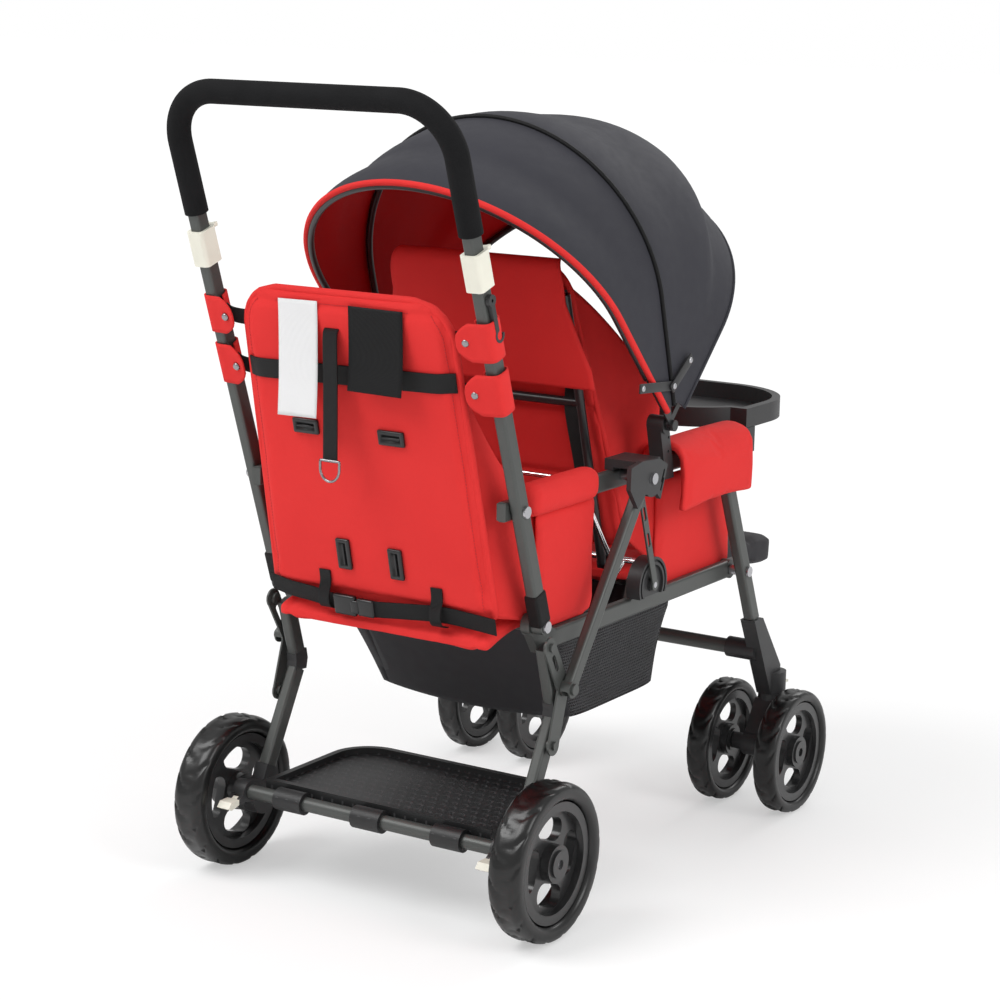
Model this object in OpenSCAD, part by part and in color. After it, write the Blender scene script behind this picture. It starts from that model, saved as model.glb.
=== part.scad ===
// Tandem pushchair with a front seat, a rear bench and standing platform.
// X is to the right, Y is forward and Z is up.
// Side positions are measured forward of the rear axle and up from the floor.

/* [Wheels] */
// radius of a rear wheel
rear_wheel_r = 102; // [90:0.5:115]
// width of a rear tyre
rear_wheel_w = 46; // [40:0.5:50]
// radius of the rim inside a rear tyre
rear_rim_r = 78.5; // [70:0.5:85]
// radius of a front wheel
front_wheel_r = 89.5; // [80:0.5:95]
// width of a front tyre
front_wheel_w = 34; // [30:0.5:35]
// radius of the rim inside a front tyre
front_rim_r = 72.5; // [65:0.5:76]
// distance from the middle to a rear wheel's centre
rear_track = 247; // [246:0.5:255]
// distance from the middle to a swivel's centre
front_track = 217.2; // [216:0.2:222]
// distance from a swivel's centre to each of its wheels
pair_half = 53.8; // [53:0.2:58]
// distance from the rear axle to the front axle
wheel_base = 637; // [600:1:680]
// distance from a swivel axis back to its axle
trail = 42; // [30:1:50]
// radius of an axle
axle_r = 6; // [5:0.25:8]

/* [Frame] */
// lean of the handle from upright in degrees
lean = 18.9; // [15:0.1:23]
// forward position of the main fold pivot
fold_y = 49; // [40:1:60]
// height of the main fold pivot
fold_z = 387; // [380:1:400]
// length of each parallel fold link
link_len = 164; // [150:1:180]
// height of the lower rails
rail_z = 360; // [350:1:370]
// forward position of the front leg pivot
leg_y = 577; // [560:1:595]
// forward position of the hinge housing bolt
hub_y = 261; // [250:1:275]
// height of the hinge housing bolt
hub_z = 546; // [540:1:556]
// lateral centre of the rails and arms
rail_x = 188; // [187.5:0.1:188.5]
// width of the rails and arms
rail_w = 13; // [12:0.1:13]
// height of the rails and arms
rail_h = 25; // [22:0.5:27]
// lateral centre of the handle tubes and rear legs
tube_x = 203; // [202.8:0.1:203.2]
// width of a frame tube
tube_w = 16; // [14:0.1:16]
// depth of a frame tube
tube_d = 22; // [20:0.5:24]
// wall of a frame tube
wall = 1.8; // [1.4:0.1:2.4]
// corner radius of a frame tube
tube_round = 4; // [3:0.25:5]
// lateral centre of a front leg
leg_x = 214; // [213.5:0.1:215]
// lean of a front leg in degrees
leg_lean = 23.7; // [20:0.1:26]
// lateral centre of a brace
brace_x = 226; // [225.8:0.1:227]
// width of a brace
brace_w = 14; // [12:0.1:14]
// depth of a brace
brace_d = 20; // [18:0.5:22]
// radius of the pivot bolts
bolt_r = 4; // [3:0.1:5]
// radius of a bolt head
head_r = 7.5; // [6:0.25:9]
// height of a bolt head
head_h = 3.2; // [2:0.1:3.6]

/* [Handle] */
// length of a handle tube from the pivot to the grip's centre
handle_len = 690; // [660:1:720]
// bend radius of the handle's corners
bend_r = 68; // [55:1:80]
// radius of the foam grip
foam_r = 15; // [14.5:0.1:15.5]
// length of the foam along each tube, measured down from the grip's centre
foam_drop = 160; // [110:1:165]
// distance from the foam's end down to a release collar
collar_drop = 22; // [12:1:40]
// height of a release collar
collar_h = 46; // [36:1:60]

/* [Arms] */
// length of an arm behind its rear pivot
arm_back = 18; // [14:1:24]
// forward position of an arm's front end
arm_front_y = 588; // [575:1:600]
// reach of the hinge housing behind its bolt
house_back = 58; // [50:1:66]
// reach of the hinge housing in front of its bolt
house_front = 38; // [30:1:44]
// rise of the hinge housing over its bolt
house_top = 27; // [24:1:32]
// drop of the hinge housing below its bolt
house_drop = 34; // [28:1:38]
// thickness of the hinge housing's cover
house_t = 6.5; // [5:0.25:9]

/* [Rear legs] */
// forward position of the knee
knee_y = 81; // [76:1:86]
// height of the knee
knee_z = 272; // [266:1:280]
// forward position of the brace's foot
foot_y = 83; // [78:1:90]
// height of the brace's foot
foot_z = 302; // [296:1:308]
// height of the plate's lower rivet
heel_z = 231; // [225:1:238]
// drop from the fold pivot to the top of the knee tube
knee_gap = 29; // [28:1:34]
// thickness of the knee plate
plate_t = 2.6; // [2:0.1:2.8]
// width of the knee plate's arms
plate_w = 26; // [22:0.5:30]

/* [Platform] */
// gap between the platform's side and a rear leg
deck_gap = 17; // [13:0.5:30]
// forward position of the platform's front edge
deck_front = 192; // [170:1:205]
// reach of the platform behind the axle
deck_back = 30; // [22:1:36]
// height of the platform's standing surface
deck_z = 124; // [118:1:132]
// height of the platform's rim over its surface
deck_rim = 9; // [6:0.5:14]
// thickness of the platform's floor
deck_t = 8; // [6:0.5:10]
// corner radius at the platform's front
deck_round = 58; // [40:1:70]
// radius of the platform's rear tube
deck_tube_r = 9.5; // [8:0.25:11]

/* [Front legs] */
// distance down the leg from its pivot to the socket
socket_at = 84; // [74:1:92]
// height of the socket's lower face
socket_z = 160; // [154:1:170]
// radius of the socket's swivel boss
boss_r = 20; // [17:0.5:23]
// radius of the swivel stem
stem_r = 8; // [6:0.25:10]
// height of the cross tube
cross_z = 230; // [222:1:238]
// radius of the cross tube
cross_r = 10.5; // [9:0.25:12]

/* [Seats] */
// forward position of the front seat back's hinge
back_y = 338; // [330:1:348]
// height of the front seat back's hinge
back_z = 412; // [408:1:420]
// recline of the front seat back from upright in degrees
back_lean = 16.5; // [12:0.5:20]
// height of the front seat back along its face
back_len = 425; // [400:1:440]
// half width of the front seat back at the bottom
back_half = 150; // [140:1:156]
// thickness of a seat pad
pad_t = 24; // [18:0.5:28]
// half width of the front seat cushion
seat_half = 142; // [130:1:143]
// forward end of the front seat cushion
seat_front = 596; // [580:1:610]
// half width of the rear seat cushion
bench_half = 163; // [150:1:168]
// forward position of the rear seat cushion's back edge
bench_y = 24; // [15:1:34]
// depth of the rear seat cushion
bench_len = 180; // [160:1:190]
// height of the top of the rear seat back
rest_top = 800; // [780:1:815]
// height of the bottom of the rear seat back
rest_low = 398; // [392:1:410]
// half width of the rear seat back at its top
rest_half = 152; // [140:1:160]
// forward end of the leg rest
calf_front = 788; // [740:1:795]
// half width of the leg rest
calf_half = 164; // [130:1:168]
// thickness of the leg rest
calf_t = 44; // [30:1:50]
// dip of the leg rest in degrees
calf_dip = 5; // [0:1:12]

/* [Canopy] */
// forward position of the canopy pivot
can_y = 330; // [320:1:340]
// height of the canopy pivot
can_z = 605; // [600:1:612]
// half width of the canopy bows
bow_half = 224.5; // [224:0.1:226]
// straight length of the front bow's legs
bow_front_leg = 168; // [160:1:200]
// straight length of the middle bow's legs
bow_top_leg = 180; // [170:1:190]
// straight length of the rear bow's legs
bow_rear_leg = 218; // [205:1:228]
// radius of a bow's tube
bow_r = 4.5; // [3.5:0.1:4.6]
// elevation of the front bow in degrees
front_el = 44; // [40:0.5:50]
// elevation of the middle bow in degrees
mid_el = 106; // [98:0.5:110]
// elevation of the rear bow in degrees
rear_el = 134; // [128:0.5:138]
// thickness of the canopy's fabric
cloth_t = 3; // [2:0.1:4]
// distance from the pivot to the canopy's side hem
hem_at = 70; // [64:1:90]

/* [Tray] */
// half width of the tray
tray_half = 199; // [190:1:204]
// distance from an arm's front end to the tray's rear edge
tray_lead = 12; // [8:1:22]
// length of the tray from its rear edge to its front edge
tray_len = 200; // [180:1:220]
// height of the tray's rim
tray_top = 588; // [582:1:594]
// depth of the tray's bowl
tray_deep = 24; // [18:0.5:28]
// wall of the tray
tray_wall = 4; // [3:0.25:6]

/* [Basket] */
// half width of the basket at its rim
basket_half = 190; // [184:1:193]
// forward position of the basket's back
basket_back = 112; // [104:1:120]
// forward position of the basket's front
basket_front = 440; // [420:1:500]
// height of the basket's floor
basket_low = 222; // [214:1:244]
// thickness of the basket's cloth
basket_t = 4; // [3:0.25:6]

/* [Fits] */
// gap between neighbouring pieces
gap = 0.4; // [0.3:0.05:0.6]
// radial clearance of a pivot bore
bore_gap = 0.15; // [0.1:0.05:0.3]
// overrun of a cut past a face
over = 1; // [0.5:0.5:2]

/* [Hidden] */
$fn = 48;
paint = [0.37, 0.39, 0.39];
black = [0.06, 0.06, 0.07];
red = [0.86, 0.17, 0.18];
cream = [0.85, 0.82, 0.74];
steel = [0.75, 0.75, 0.77];
cloth = [0.12, 0.12, 0.13];
// fold points in the side plane
link_v = link_len * [-sin(lean), cos(lean)];
A = [fold_y, fold_z];
G = A + link_v;
H = [leg_y, rail_z];
T = H + link_v;
F = [hub_y, hub_z];
Q = F - link_v;
C = [foot_y, foot_z];
K = [knee_y, knee_z];
axle = [0, rear_wheel_r];
hub = [can_y, can_z];
B = [back_y, back_z];
// pieces that are placed from their neighbours
collar_at = handle_len - foam_drop - collar_drop - collar_h;
deck_half = tube_x - tube_w / 2 - deck_gap;
tray_back = arm_front_y + tray_lead;
tray_front = tray_back + tray_len;
// extents that centre the object over its origin
rear_reach = -(A[0] - handle_len * sin(lean)) + foam_r;
mid_y = (tray_front - rear_reach) / 2;
// lateral faces
rail_in = rail_x - rail_w / 2;
rail_out = rail_x + rail_w / 2;
tube_in = tube_x - tube_w / 2;
tube_out = tube_x + tube_w / 2;
plate_in = brace_x - brace_w / 2 - gap - plate_t;
plate_out = plate_in + plate_t;
brace_in = brace_x - brace_w / 2;
brace_out = brace_x + brace_w / 2;
leg_in = leg_x - tube_w / 2;
leg_out = leg_x + tube_w / 2;
arm_z = G[1];
arm_back_y = G[0] - arm_back;
// cross rods of the lower frame
rod_r = rail_h / 3;
front_rod_y = leg_y + 2 * rail_h / 3;
basket_top = rail_z - rail_h / 2 - gap;
// brake pins
deck_p = [-deck_back, deck_z - deck_t];
brake_dip = 25;
brake_p = deck_p - (deck_tube_r + 6 * wall + gap) * [cos(brake_dip), sin(brake_dip)];
ear_in = tube_in + 2 * wall;
ear_out = tube_out - 2 * wall;
seat_z = rail_z + rod_r + gap + pad_t / 2;
// direction down the front leg
leg_v = [sin(leg_lean), -cos(leg_lean)];
socket_p = H + socket_at * leg_v;
swivel_y = wheel_base + trail;
// direction down the handle
down_v = [sin(lean), -cos(lean)];
knee_top = A + knee_gap / cos(lean) * down_v;
heel = K + (K[1] - heel_z) / (K[1] - axle[1]) * (axle - K);
// ends of the rear leg's tubes
knee_up = K + [0, rail_h / 2];
knee_low = K - [0, rail_h / 2];
block_p = axle + 0.22 * (K - axle);
// shares of sizes
half_share = 0.5;
eye_share = 0.56;
leg_share = 0.2;
half_turn = 180;
arc_sides = 18;
front_sag_share = 0.03;
rear_sag_share = 0.05;
flap_shares = [0.68, 0.84];
soft_steps = 14;
soft_sides = 20;

// everything is drawn forward of the rear axle and then centred
module place() translate([0, -mid_y, 0]) children();

// a copy on each side
module both() {
    children();
    mirror([1, 0, 0]) children();
}

// a side outline drawn in Y and Z, given its lateral faces
module side(x0, x1) translate([x0, 0, 0]) rotate([90, 0, 90]) linear_extrude(x1 - x0) children();

// a round bar across the object
module rod(p, x0, x1, r) translate([x0, p[0], p[1]]) rotate([0, 90, 0]) cylinder(r = r, h = x1 - x0);

// a rounded rectangle
module rrect(w, d, r) {
    square([w - 2 * r, d], center = true);
    square([w, d - 2 * r], center = true);
    for (i = [-1, 1], j = [-1, 1]) translate([i * (w / 2 - r), j * (d / 2 - r)]) circle(r);
}

// turn the Z axis to run from p to q in the side plane
module along(p, q, x) {
    d = q - p;
    translate([x, p[0], p[1]]) rotate([-atan2(d[0], d[1]), 0, 0]) children();
}

// a hollow rectangular tube from p to q
module tube(p, q, x, w, d) {
    n = norm(q - p);
    along(p, q, x) linear_extrude(n) difference() {
        rrect(w, d, tube_round);
        rrect(w - 2 * wall, d - 2 * wall, tube_round - wall);
    }
}

// a solid plug that fills a tube's end
module plug(p, q, x, w, d) {
    n = norm(q - p);
    inset = 2 * wall + 2 * gap;
    along(p, q, x) linear_extrude(n) rrect(w - inset, d - inset, tube_round - wall);
}

// the room that a tube from p to q needs in a piece that holds its end
module room(p, q, x, w, d) {
    n = norm(q - p);
    along(p, q, x) translate([0, 0, -gap]) linear_extrude(n) rrect(w + 2 * gap, d + 2 * gap, tube_round);
}

// a bolt with a low round head on its outer end
module bolt(p, x0, x1) {
    rod(p, x0, x1, bolt_r);
    rod(p, x1 - head_h, x1, head_r);
    rod(p, x0, x0 + head_h, head_r);
}

// a bore for a bolt
module bore(p, x0, x1) rod(p, x0 - over, x1 + over, bolt_r + bore_gap);

// a closed skin through rings of equal point counts
module loft(rings) {
    n = len(rings[0]);
    k = len(rings);
    pts = [for (r = rings, p = r) p];
    walls = [for (j = [0 : k - 2], i = [0 : n - 1]) let (a = j * n + i, b = j * n + (i + 1) % n)
        each [[a, a + n, b], [b, a + n, b + n]]];
    low = [for (i = [0 : n - 1]) i];
    high = [for (i = [n - 1 : -1 : 0]) (k - 1) * n + i];
    polyhedron(pts, concat(walls, [low], [high]));
}

// a closed skin between an outer and an inner sheet, each a list of point rows
module sheet(outer, inner) {
    n = len(outer[0]);
    k = len(outer);
    m = n * k;
    pts = concat([for (r = outer, p = r) p], [for (r = inner, p = r) p]);
    faces = [for (j = [0 : k - 2], i = [0 : n - 2]) let (a = j * n + i, b = a + 1, c = a + n, d = b + n)
        each [[a, c, b], [b, c, d], [a + m, b + m, c + m], [b + m, d + m, c + m]]];
    ends = [for (i = [0 : n - 2]) let (a = i, b = i + 1, c = (k - 1) * n + i, d = c + 1)
        each [[a, b, b + m], [a, b + m, a + m], [c, d + m, d], [c, c + m, d + m]]];
    hems = [for (j = [0 : k - 2]) let (a = j * n, b = a + n, c = a + n - 1, d = c + n)
        each [[a, a + m, b + m], [a, b + m, b], [c, d + m, c + m], [c, d, d + m]]];
    polyhedron(pts, concat(faces, ends, hems));
}

function spow(v, e) = sign(v) * pow(abs(v), e);

// rings of a stuffed pad: w0 and w1 are half widths at its ends, h its height, t its thickness
function pad_rings(w0, w1, h, t, channels = 0, dip_share = 0.12) = [
    for (j = [0 : soft_steps]) let (
        v = j / soft_steps,
        e = pow(abs(2 * v - 1), 6),
        draw = 1 - 0.05 * pow(sin(180 * v), 2),
        half = (w0 + (w1 - w0) * v) * (1 - 0.16 * e) * draw,
        dip = channels == 0 ? 1 : 1 - dip_share * pow(abs(cos(180 * channels * v)), 8),
        thick = t / 2 * (1 - 0.62 * e) * dip)
    [for (i = [0 : soft_sides - 1]) let (a = 360 * i / soft_sides)
        [half * spow(cos(a), 0.45), thick * spow(sin(a), 0.75), h * v]]];

// a stuffed pad that stands on the X axis, facing along Y
module pad(w0, w1, h, t, channels = 0) loft(pad_rings(w0, w1, h, t, channels));

// a folding arch: points of a canopy bow at one elevation
function arch(half, leg, el, hem, steps) = [
    for (i = [0 : steps]) let (
        s = i / steps,
        low = leg_share,
        a = half_turn * (s - low) / (1 - 2 * low),
        x = s < low ? half : s > 1 - low ? -half : half * cos(a),
        d = s < low ? hem + (leg - hem) * s / low
            : s > 1 - low ? hem + (leg - hem) * (1 - s) / low : leg + half * sin(a))
    [x, hub[0] + d * cos(el), hub[1] + d * sin(el)]];

// Lower frame

module lower_frame() color(paint) place() {
    both() difference() {
        union() {
            tube([fold_y + rail_h, rail_z], [leg_y + rail_h, rail_z], rail_x, rail_w, rail_h);
            side(rail_in, rail_out) {
                translate(A) circle(eye_share * rail_h);
                translate(H) circle(eye_share * rail_h - gap);
                translate(Q) circle(eye_share * rail_h);
                polygon([A - [eye_share * rail_h, 0], A + [eye_share * rail_h, 0],
                    [fold_y + 2 * rail_h, rail_z + rail_h / 2], [fold_y + 2 * rail_h, rail_z - rail_h / 2],
                    [fold_y + rail_h / 2, rail_z - rail_h / 2]]);
                polygon([Q - [eye_share * rail_h, 0], Q + [eye_share * rail_h, 0],
                    [Q[0] + rail_h, rail_z], [Q[0] - rail_h, rail_z]]);
                translate(B) circle(head_r + wall);
                polygon([B - [head_r + wall, 0], B + [head_r + wall, 0],
                    [B[0] + rail_h, rail_z], [B[0] - rail_h, rail_z]]);
            }
        }
        bore(A, rail_in, rail_out);
        bore(H, rail_in, rail_out);
        bore(Q, rail_in, rail_out);
        bore(B, rail_in, rail_out);
    }
    for (y = [fold_y + 3.4 * rail_h, seat_front - 6.6 * rail_h, front_rod_y])
        rod([y, rail_z], -rail_in - wall, rail_in + wall, rod_r);
}

module frame_bolts() color(steel) place() both() {
    bolt(A, rail_in - head_h - gap, tube_out + head_h + gap);
    bolt(H, rail_in - head_h - gap, leg_out + head_h + gap);
    rod(Q, rail_in, plate_out, bolt_r);
    rod(H, rail_out + gap, leg_in - gap, head_r);
}

module recline_quadrants() color(black) place() both() difference() {
    r = 1.5 * rail_h;
    x1 = plate_in - 2 * gap;
    union() {
        rod(Q, rail_out + gap, x1 - 2 * wall, r);
        difference() {
            rod(Q, x1 - 3 * wall, x1, r);
            rod(Q, x1 - 4 * wall, x1 + over, r - 2 * wall);
        }
        difference() {
            rod(Q, x1 - 3 * wall, x1, r - 4 * wall);
            rod(Q, x1 - 4 * wall, x1 + over, r - 6 * wall);
        }
        rod(Q, x1 - 3 * wall, x1, head_r + wall);
    }
    bore(Q, rail_out, x1);
    side(rail_out, plate_out) translate([Q[0], Q[1] - 0.4 * r]) translate([-2 * r, -2 * r]) square([4 * r, 2 * r]);
}

module strap_links() color(paint) place() both() difference() {
    side(plate_in, plate_out) difference() {
        union() {
            translate(Q) circle(0.8 * head_r + wall);
            translate(F) circle(0.8 * head_r + wall);
            translate(Q) rotate(90 + lean) translate([0, -0.8 * head_r]) square([link_len, 1.6 * head_r]);
        }
        for (s = [0.42, 0.66]) translate(Q + s * link_v) rotate(90 + lean) {
            square([2 * head_r, head_r - wall], center = true);
            for (i = [-1, 1]) translate([i * head_r, 0]) circle((head_r - wall) / 2);
        }
    }
    bore(Q, plate_in, plate_out);
    bore(F, plate_in, plate_out);
}

module front_seat_cushion() color(red) place()
    translate([0, back_y + pad_t, seat_z]) rotate([-90, 0, 0])
        pad(seat_half, seat_half, seat_front - back_y - pad_t, pad_t, 2);

module rear_seat_cushion() color(red) place()
    translate([0, bench_y, seat_z]) rotate([-90, 0, 0])
        pad(bench_half, bench_half, bench_len, pad_t, 2);

module leg_rest() color(black) place()
    translate([0, front_rod_y + rod_r + 2 * gap, rail_z]) rotate([-90 - calf_dip, 0, 0])
        pad(seat_half, calf_half, calf_front - front_rod_y - rod_r, calf_t, 3);

// a rounded outline of one level of the basket
function basket_ring(inset, z, drop) = let (
    r = rail_h, hx = basket_half - inset, y0 = basket_back + inset, y1 = basket_front - inset)
    [for (k = [0 : 3], a = [0 : 3]) let (
        x = k == 0 || k == 3 ? hx - r : r - hx,
        y = k < 2 ? y1 - r : y0 + r,
        turn = half_turn / 2 * (k + a / 3))
        [x + r * cos(turn), y + r * sin(turn), z - drop * (1 - pow(abs(x) / basket_half, 2))]];

module basket() color(cloth) place() {
    deep = basket_top - basket_low;
    outer = [for (s = [0 : 0.25 : 1]) basket_ring(deep * 0.1 * sin(180 * (1 - s) * 0.5) + 3 * wall * sin(180 * s),
        basket_low + deep * s, 0)];
    inner = [for (s = [1 : -0.25 : 0]) basket_ring(basket_t + deep * 0.1 * sin(180 * (1 - s) * 0.5)
        + 3 * wall * sin(180 * s), basket_low + (s == 0 ? basket_t : deep * s), 0)];
    loft(concat(outer, inner));
}

// Handle

module in_handle() place() translate([0, A[0], A[1]]) rotate([lean, 0, 0]) children();

// the handle's U, swept with an outline
module u_sweep(low) {
    straight = handle_len - bend_r;
    both() {
        translate([tube_x, 0, low]) linear_extrude(straight - low) children();
        translate([tube_x - bend_r, 0, straight]) rotate([90, 0, 0]) rotate_extrude(angle = 90)
            translate([bend_r, 0]) children();
        translate([0, 0, handle_len]) rotate([0, 90, 0]) linear_extrude(tube_x - bend_r) rotate(90) children();
    }
}

module handle_tube() color(paint) difference() {
    union() {
        in_handle() difference() {
            u_sweep(0) rrect(tube_w, tube_d, tube_round);
            u_sweep(2 * head_r) rrect(tube_w - 2 * wall, tube_d - 2 * wall, tube_round - wall);
        }
        place() both() rod(A, tube_in, tube_out, tube_d / 2);
    }
    place() both() {
        bore(A, tube_in, tube_out);
        bore(G, tube_in, tube_out);
    }
}

module handle_foam() color(black) in_handle() difference() {
    u_sweep(handle_len - foam_drop) circle(foam_r);
    u_sweep(handle_len - foam_drop - over) rrect(tube_w + 2 * gap, tube_d + 2 * gap, tube_round + gap);
}

// the rear seat back hangs a little steeper than the handle
rest_p = [bench_y - pad_t, rest_low];
rest_q = [A[0] - (rest_top - A[1]) * tan(lean), rest_top];

module rear_seat_back() color(red) {
    place() along(rest_p, rest_q, 0) pad(tube_in - rail_w - 2 * wall, rest_half, norm(rest_q - rest_p), pad_t, 4);
    in_handle() both() for (s = flap_shares)
        translate([rest_half - tube_d, -tube_d / 2 - gap - 2 * wall, s * collar_at])
            cube([tube_out - rest_half + tube_d, 2 * wall, 3 * head_r]);
}

module collar() {
    inset = gap;
    difference() {
        translate([tube_x, 0, collar_at]) linear_extrude(collar_h) rrect(tube_w + 5 * wall, tube_d + 5 * wall, tube_round + wall);
        translate([tube_x, 0, collar_at - over]) linear_extrude(collar_h + 2 * over)
            rrect(tube_w + 2 * inset, tube_d + 2 * inset, tube_round);
    }
    difference() {
        translate([tube_x - tube_w / 2, tube_d / 2 + gap, collar_at + collar_h - 3 * wall])
            cube([tube_w, 7 * wall, 3 * wall]);
        translate([tube_x, tube_d / 2 + 8 * wall, collar_at]) cylinder(r = tube_w / 3, h = 2 * collar_h);
    }
}

module latch_collar_r() color(cream) in_handle() collar();
module latch_collar_l() color(cream) in_handle() mirror([1, 0, 0]) collar();

// storage catch: a curved hook on the right tube
catch_p = [tube_out + gap, 0, collar_at - 2 * head_r];

module storage_catch() color(black) in_handle() translate(catch_p) rotate([90, 0, 90]) difference() {
    linear_extrude(3 * wall) difference() {
        union() {
            circle(head_r);
            translate([-head_r / 2, -collar_h]) square([head_r, collar_h]);
            difference() {
                translate([head_r / 2, -collar_h]) circle(head_r + wall);
                translate([head_r / 2, -collar_h]) square(2 * head_r);
            }
        }
        translate([head_r / 2, -collar_h]) circle(head_r - wall);
    }
    translate([0, 0, -over]) cylinder(r = bolt_r / 2 + bore_gap, h = 3 * wall + 2 * over);
}

// Arms

module arm_rails() color(paint) place() both() difference() {
    union() {
        tube([arm_back_y, arm_z], [arm_front_y, arm_z], rail_x, rail_w, rail_h);
        side(rail_in, rail_out) for (p = [[arm_back_y, arm_z], [arm_front_y, arm_z]])
            translate(p - [wall, rail_h / 2 - wall]) square([2 * wall, rail_h - 2 * wall]);
        side(rail_in + wall, leg_in - 2 * gap) {
            translate(T) circle(eye_share * tube_d);
            polygon([T - [eye_share * tube_d, 0], T + [eye_share * tube_d, 0],
                [T[0] + tube_d, arm_z + wall], [T[0] - tube_d, arm_z + wall]]);
        }
    }
    bore(G, rail_in, rail_out);
    bore(F, rail_in, rail_out);
    bore(T, rail_in, leg_in);
}

module arm_bolts() color(steel) place() both() {
    bolt(G, rail_in - head_h - gap, tube_out + head_h + gap);
    bolt(F, rail_in - head_h - gap, brace_out + gap + house_t + head_h);
    bolt(T, rail_in - head_h, leg_out + head_h + gap);
    rod(F, rail_out + gap, plate_in - gap, head_r);
}

module hinge_housings() color(black) place() both() difference() {
    x0 = brace_out + gap;
    x1 = x0 + house_t;
    web = brace_d / 2 + 2 * wall;
    union() {
        side(x0, x1) {
            translate(F) circle(0.9 * house_top);
            polygon([F + [-house_back, 0.82 * house_top], F + [-0.5 * house_back, house_top],
                F + [0.4 * house_front, 0.9 * house_top], F + [house_front, 0.5 * house_top],
                F + [0.55 * house_front, -0.9 * house_drop], F + [0.15 * house_front, -0.5 * house_drop],
                F + [-0.35 * house_back, -0.55 * house_drop], F + [-0.66 * house_back, -house_drop],
                F + [-1.02 * house_back, -0.2 * house_drop]]);
        }
        side(rail_in, x0 + over) translate(F + [-0.7 * house_front, web])
            square([1.4 * house_front, 0.9 * house_top - web]);
        side(rail_in, rail_out) translate([F[0] - 0.7 * house_front, arm_z + rail_h / 2 + gap])
            square([1.4 * house_front, F[1] + web - arm_z - rail_h / 2]);
    }
    bore(F, x0, x1);
    for (s = [0.25, 0.5]) side(x1 - 2 * wall, x1 + over)
        translate(F + [0.72 * house_front - s * head_r, house_top * (0.4 - 1.6 * s)]) rotate(65) {
            square([2 * head_r, 2 * wall], center = true);
            for (i = [-1, 1]) translate([i * head_r, 0]) circle(wall);
        }
}

module canopy_hubs() color(black) place() both() {
    x0 = rail_out + gap;
    x1 = bow_half - bow_r - gap;
    difference() {
        union() {
            rod(hub, x0, x1, 1.6 * head_r);
            side(x0, x1 - 2 * wall) polygon([hub + [-1.6 * head_r, 0], hub + [1.6 * head_r, 0],
                [hub[0] + 4 * head_r, arm_z - rail_h / 2], [hub[0] + head_r, arm_z - rail_h / 2]]);
        }
        for (s = [0.3, 0.6]) side(x1 - 3 * wall, x1)
            translate([hub[0] + 1.6 * head_r, hub[1] - s * (hub[1] - arm_z)]) circle(bolt_r / 2);
    }
    rod(hub, x1 - over, bow_half + bow_r, bolt_r - bore_gap);
    rod(hub, bow_half + bow_r, bow_half + bow_r + head_h, head_r);
}

// one canopy bow: an arch on two flat eyes, with its eye in its own lane
module bow(el, lane, leg) {
    eye_t = 2 * bow_r / 3 - gap;
    eye_len = 1.45 * hem_at;
    x0 = bow_half - bow_r + lane * (eye_t + gap);
    translate([0, hub[0], hub[1]]) rotate([el - 90, 0, 0]) {
        both() {
            translate([bow_half, 0, eye_len - bow_r]) cylinder(r = bow_r, h = leg - eye_len + bow_r);
            difference() {
                union() {
                    translate([x0, 0, 0]) rotate([0, 90, 0]) cylinder(r = head_r, h = eye_t);
                    translate([x0, -bow_r, 0]) cube([eye_t, 2 * bow_r, eye_len]);
                }
                translate([x0 - over, 0, 0]) rotate([0, 90, 0]) cylinder(r = bolt_r, h = eye_t + 2 * over);
            }
        }
        translate([0, 0, leg]) rotate([90, 0, 0]) rotate_extrude(angle = 180)
            translate([bow_half, 0]) circle(bow_r);
    }
}

module front_bow() color(black) place() bow(front_el, 0, bow_front_leg);
module mid_bow() color(black) place() bow(mid_el, 1, bow_top_leg);
module rear_bow() color(black) place() bow(rear_el, 2, bow_rear_leg);

// cloth between two bows, drawn in a little between them
module canopy_cloth(e0, e1, leg0, leg1, sag_share, steps) {
    in_r = (bow_half + bow_r + gap) / cos(half_turn / (2 * arc_sides));
    rows = [for (t = [cloth_t, 0]) [for (j = [0 : steps]) let (
        v = j / steps,
        el = e0 + (e1 - e0) * v,
        leg = (leg0 + (leg1 - leg0) * v) * (1 - sag_share * sin(180 * v)))
        arch(in_r + t, leg, el, hem_at + bow_r, arc_sides / (1 - 2 * leg_share))]];
    sheet(rows[0], rows[1]);
}

// half of the angle between the two cloths at the middle bow
seam_el = asin(gap / hem_at) / 2;

module canopy_front() color(cloth) place()
    canopy_cloth(front_el, mid_el - seam_el, bow_front_leg, bow_top_leg, front_sag_share, 8);
module canopy_rear() color(cloth) place()
    canopy_cloth(mid_el + seam_el, rear_el, bow_top_leg, bow_rear_leg, rear_sag_share, 6);

// a saddle-shaped arm pad that wraps the arm and the head of the leg
saddle_x0 = rail_in - 2 * wall - gap;
saddle_x1 = leg_out + head_h + wall + gap;
saddle_z = arm_z + rail_h / 2 + gap;
saddle_low = arm_z - 2.4 * rail_h;

function saddle_out(y, t) = let (x0 = saddle_x0, x1 = saddle_x1, z1 = saddle_z)
    [[x0 - t, y, arm_z - rail_h / 2], [x0 - t, y, z1], [x0 - t / 2, y, z1 + t], [x0 + t / 2, y, z1 + 2 * t],
        [(x0 + x1) / 2, y, z1 + 2.6 * t], [x1 - t / 2, y, z1 + 2 * t], [x1 + t / 2, y, z1 + t],
        [x1 + t, y, z1], [x1 + 1.2 * t, y, (saddle_low + z1) / 2], [x1 + t, y, saddle_low]];

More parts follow.
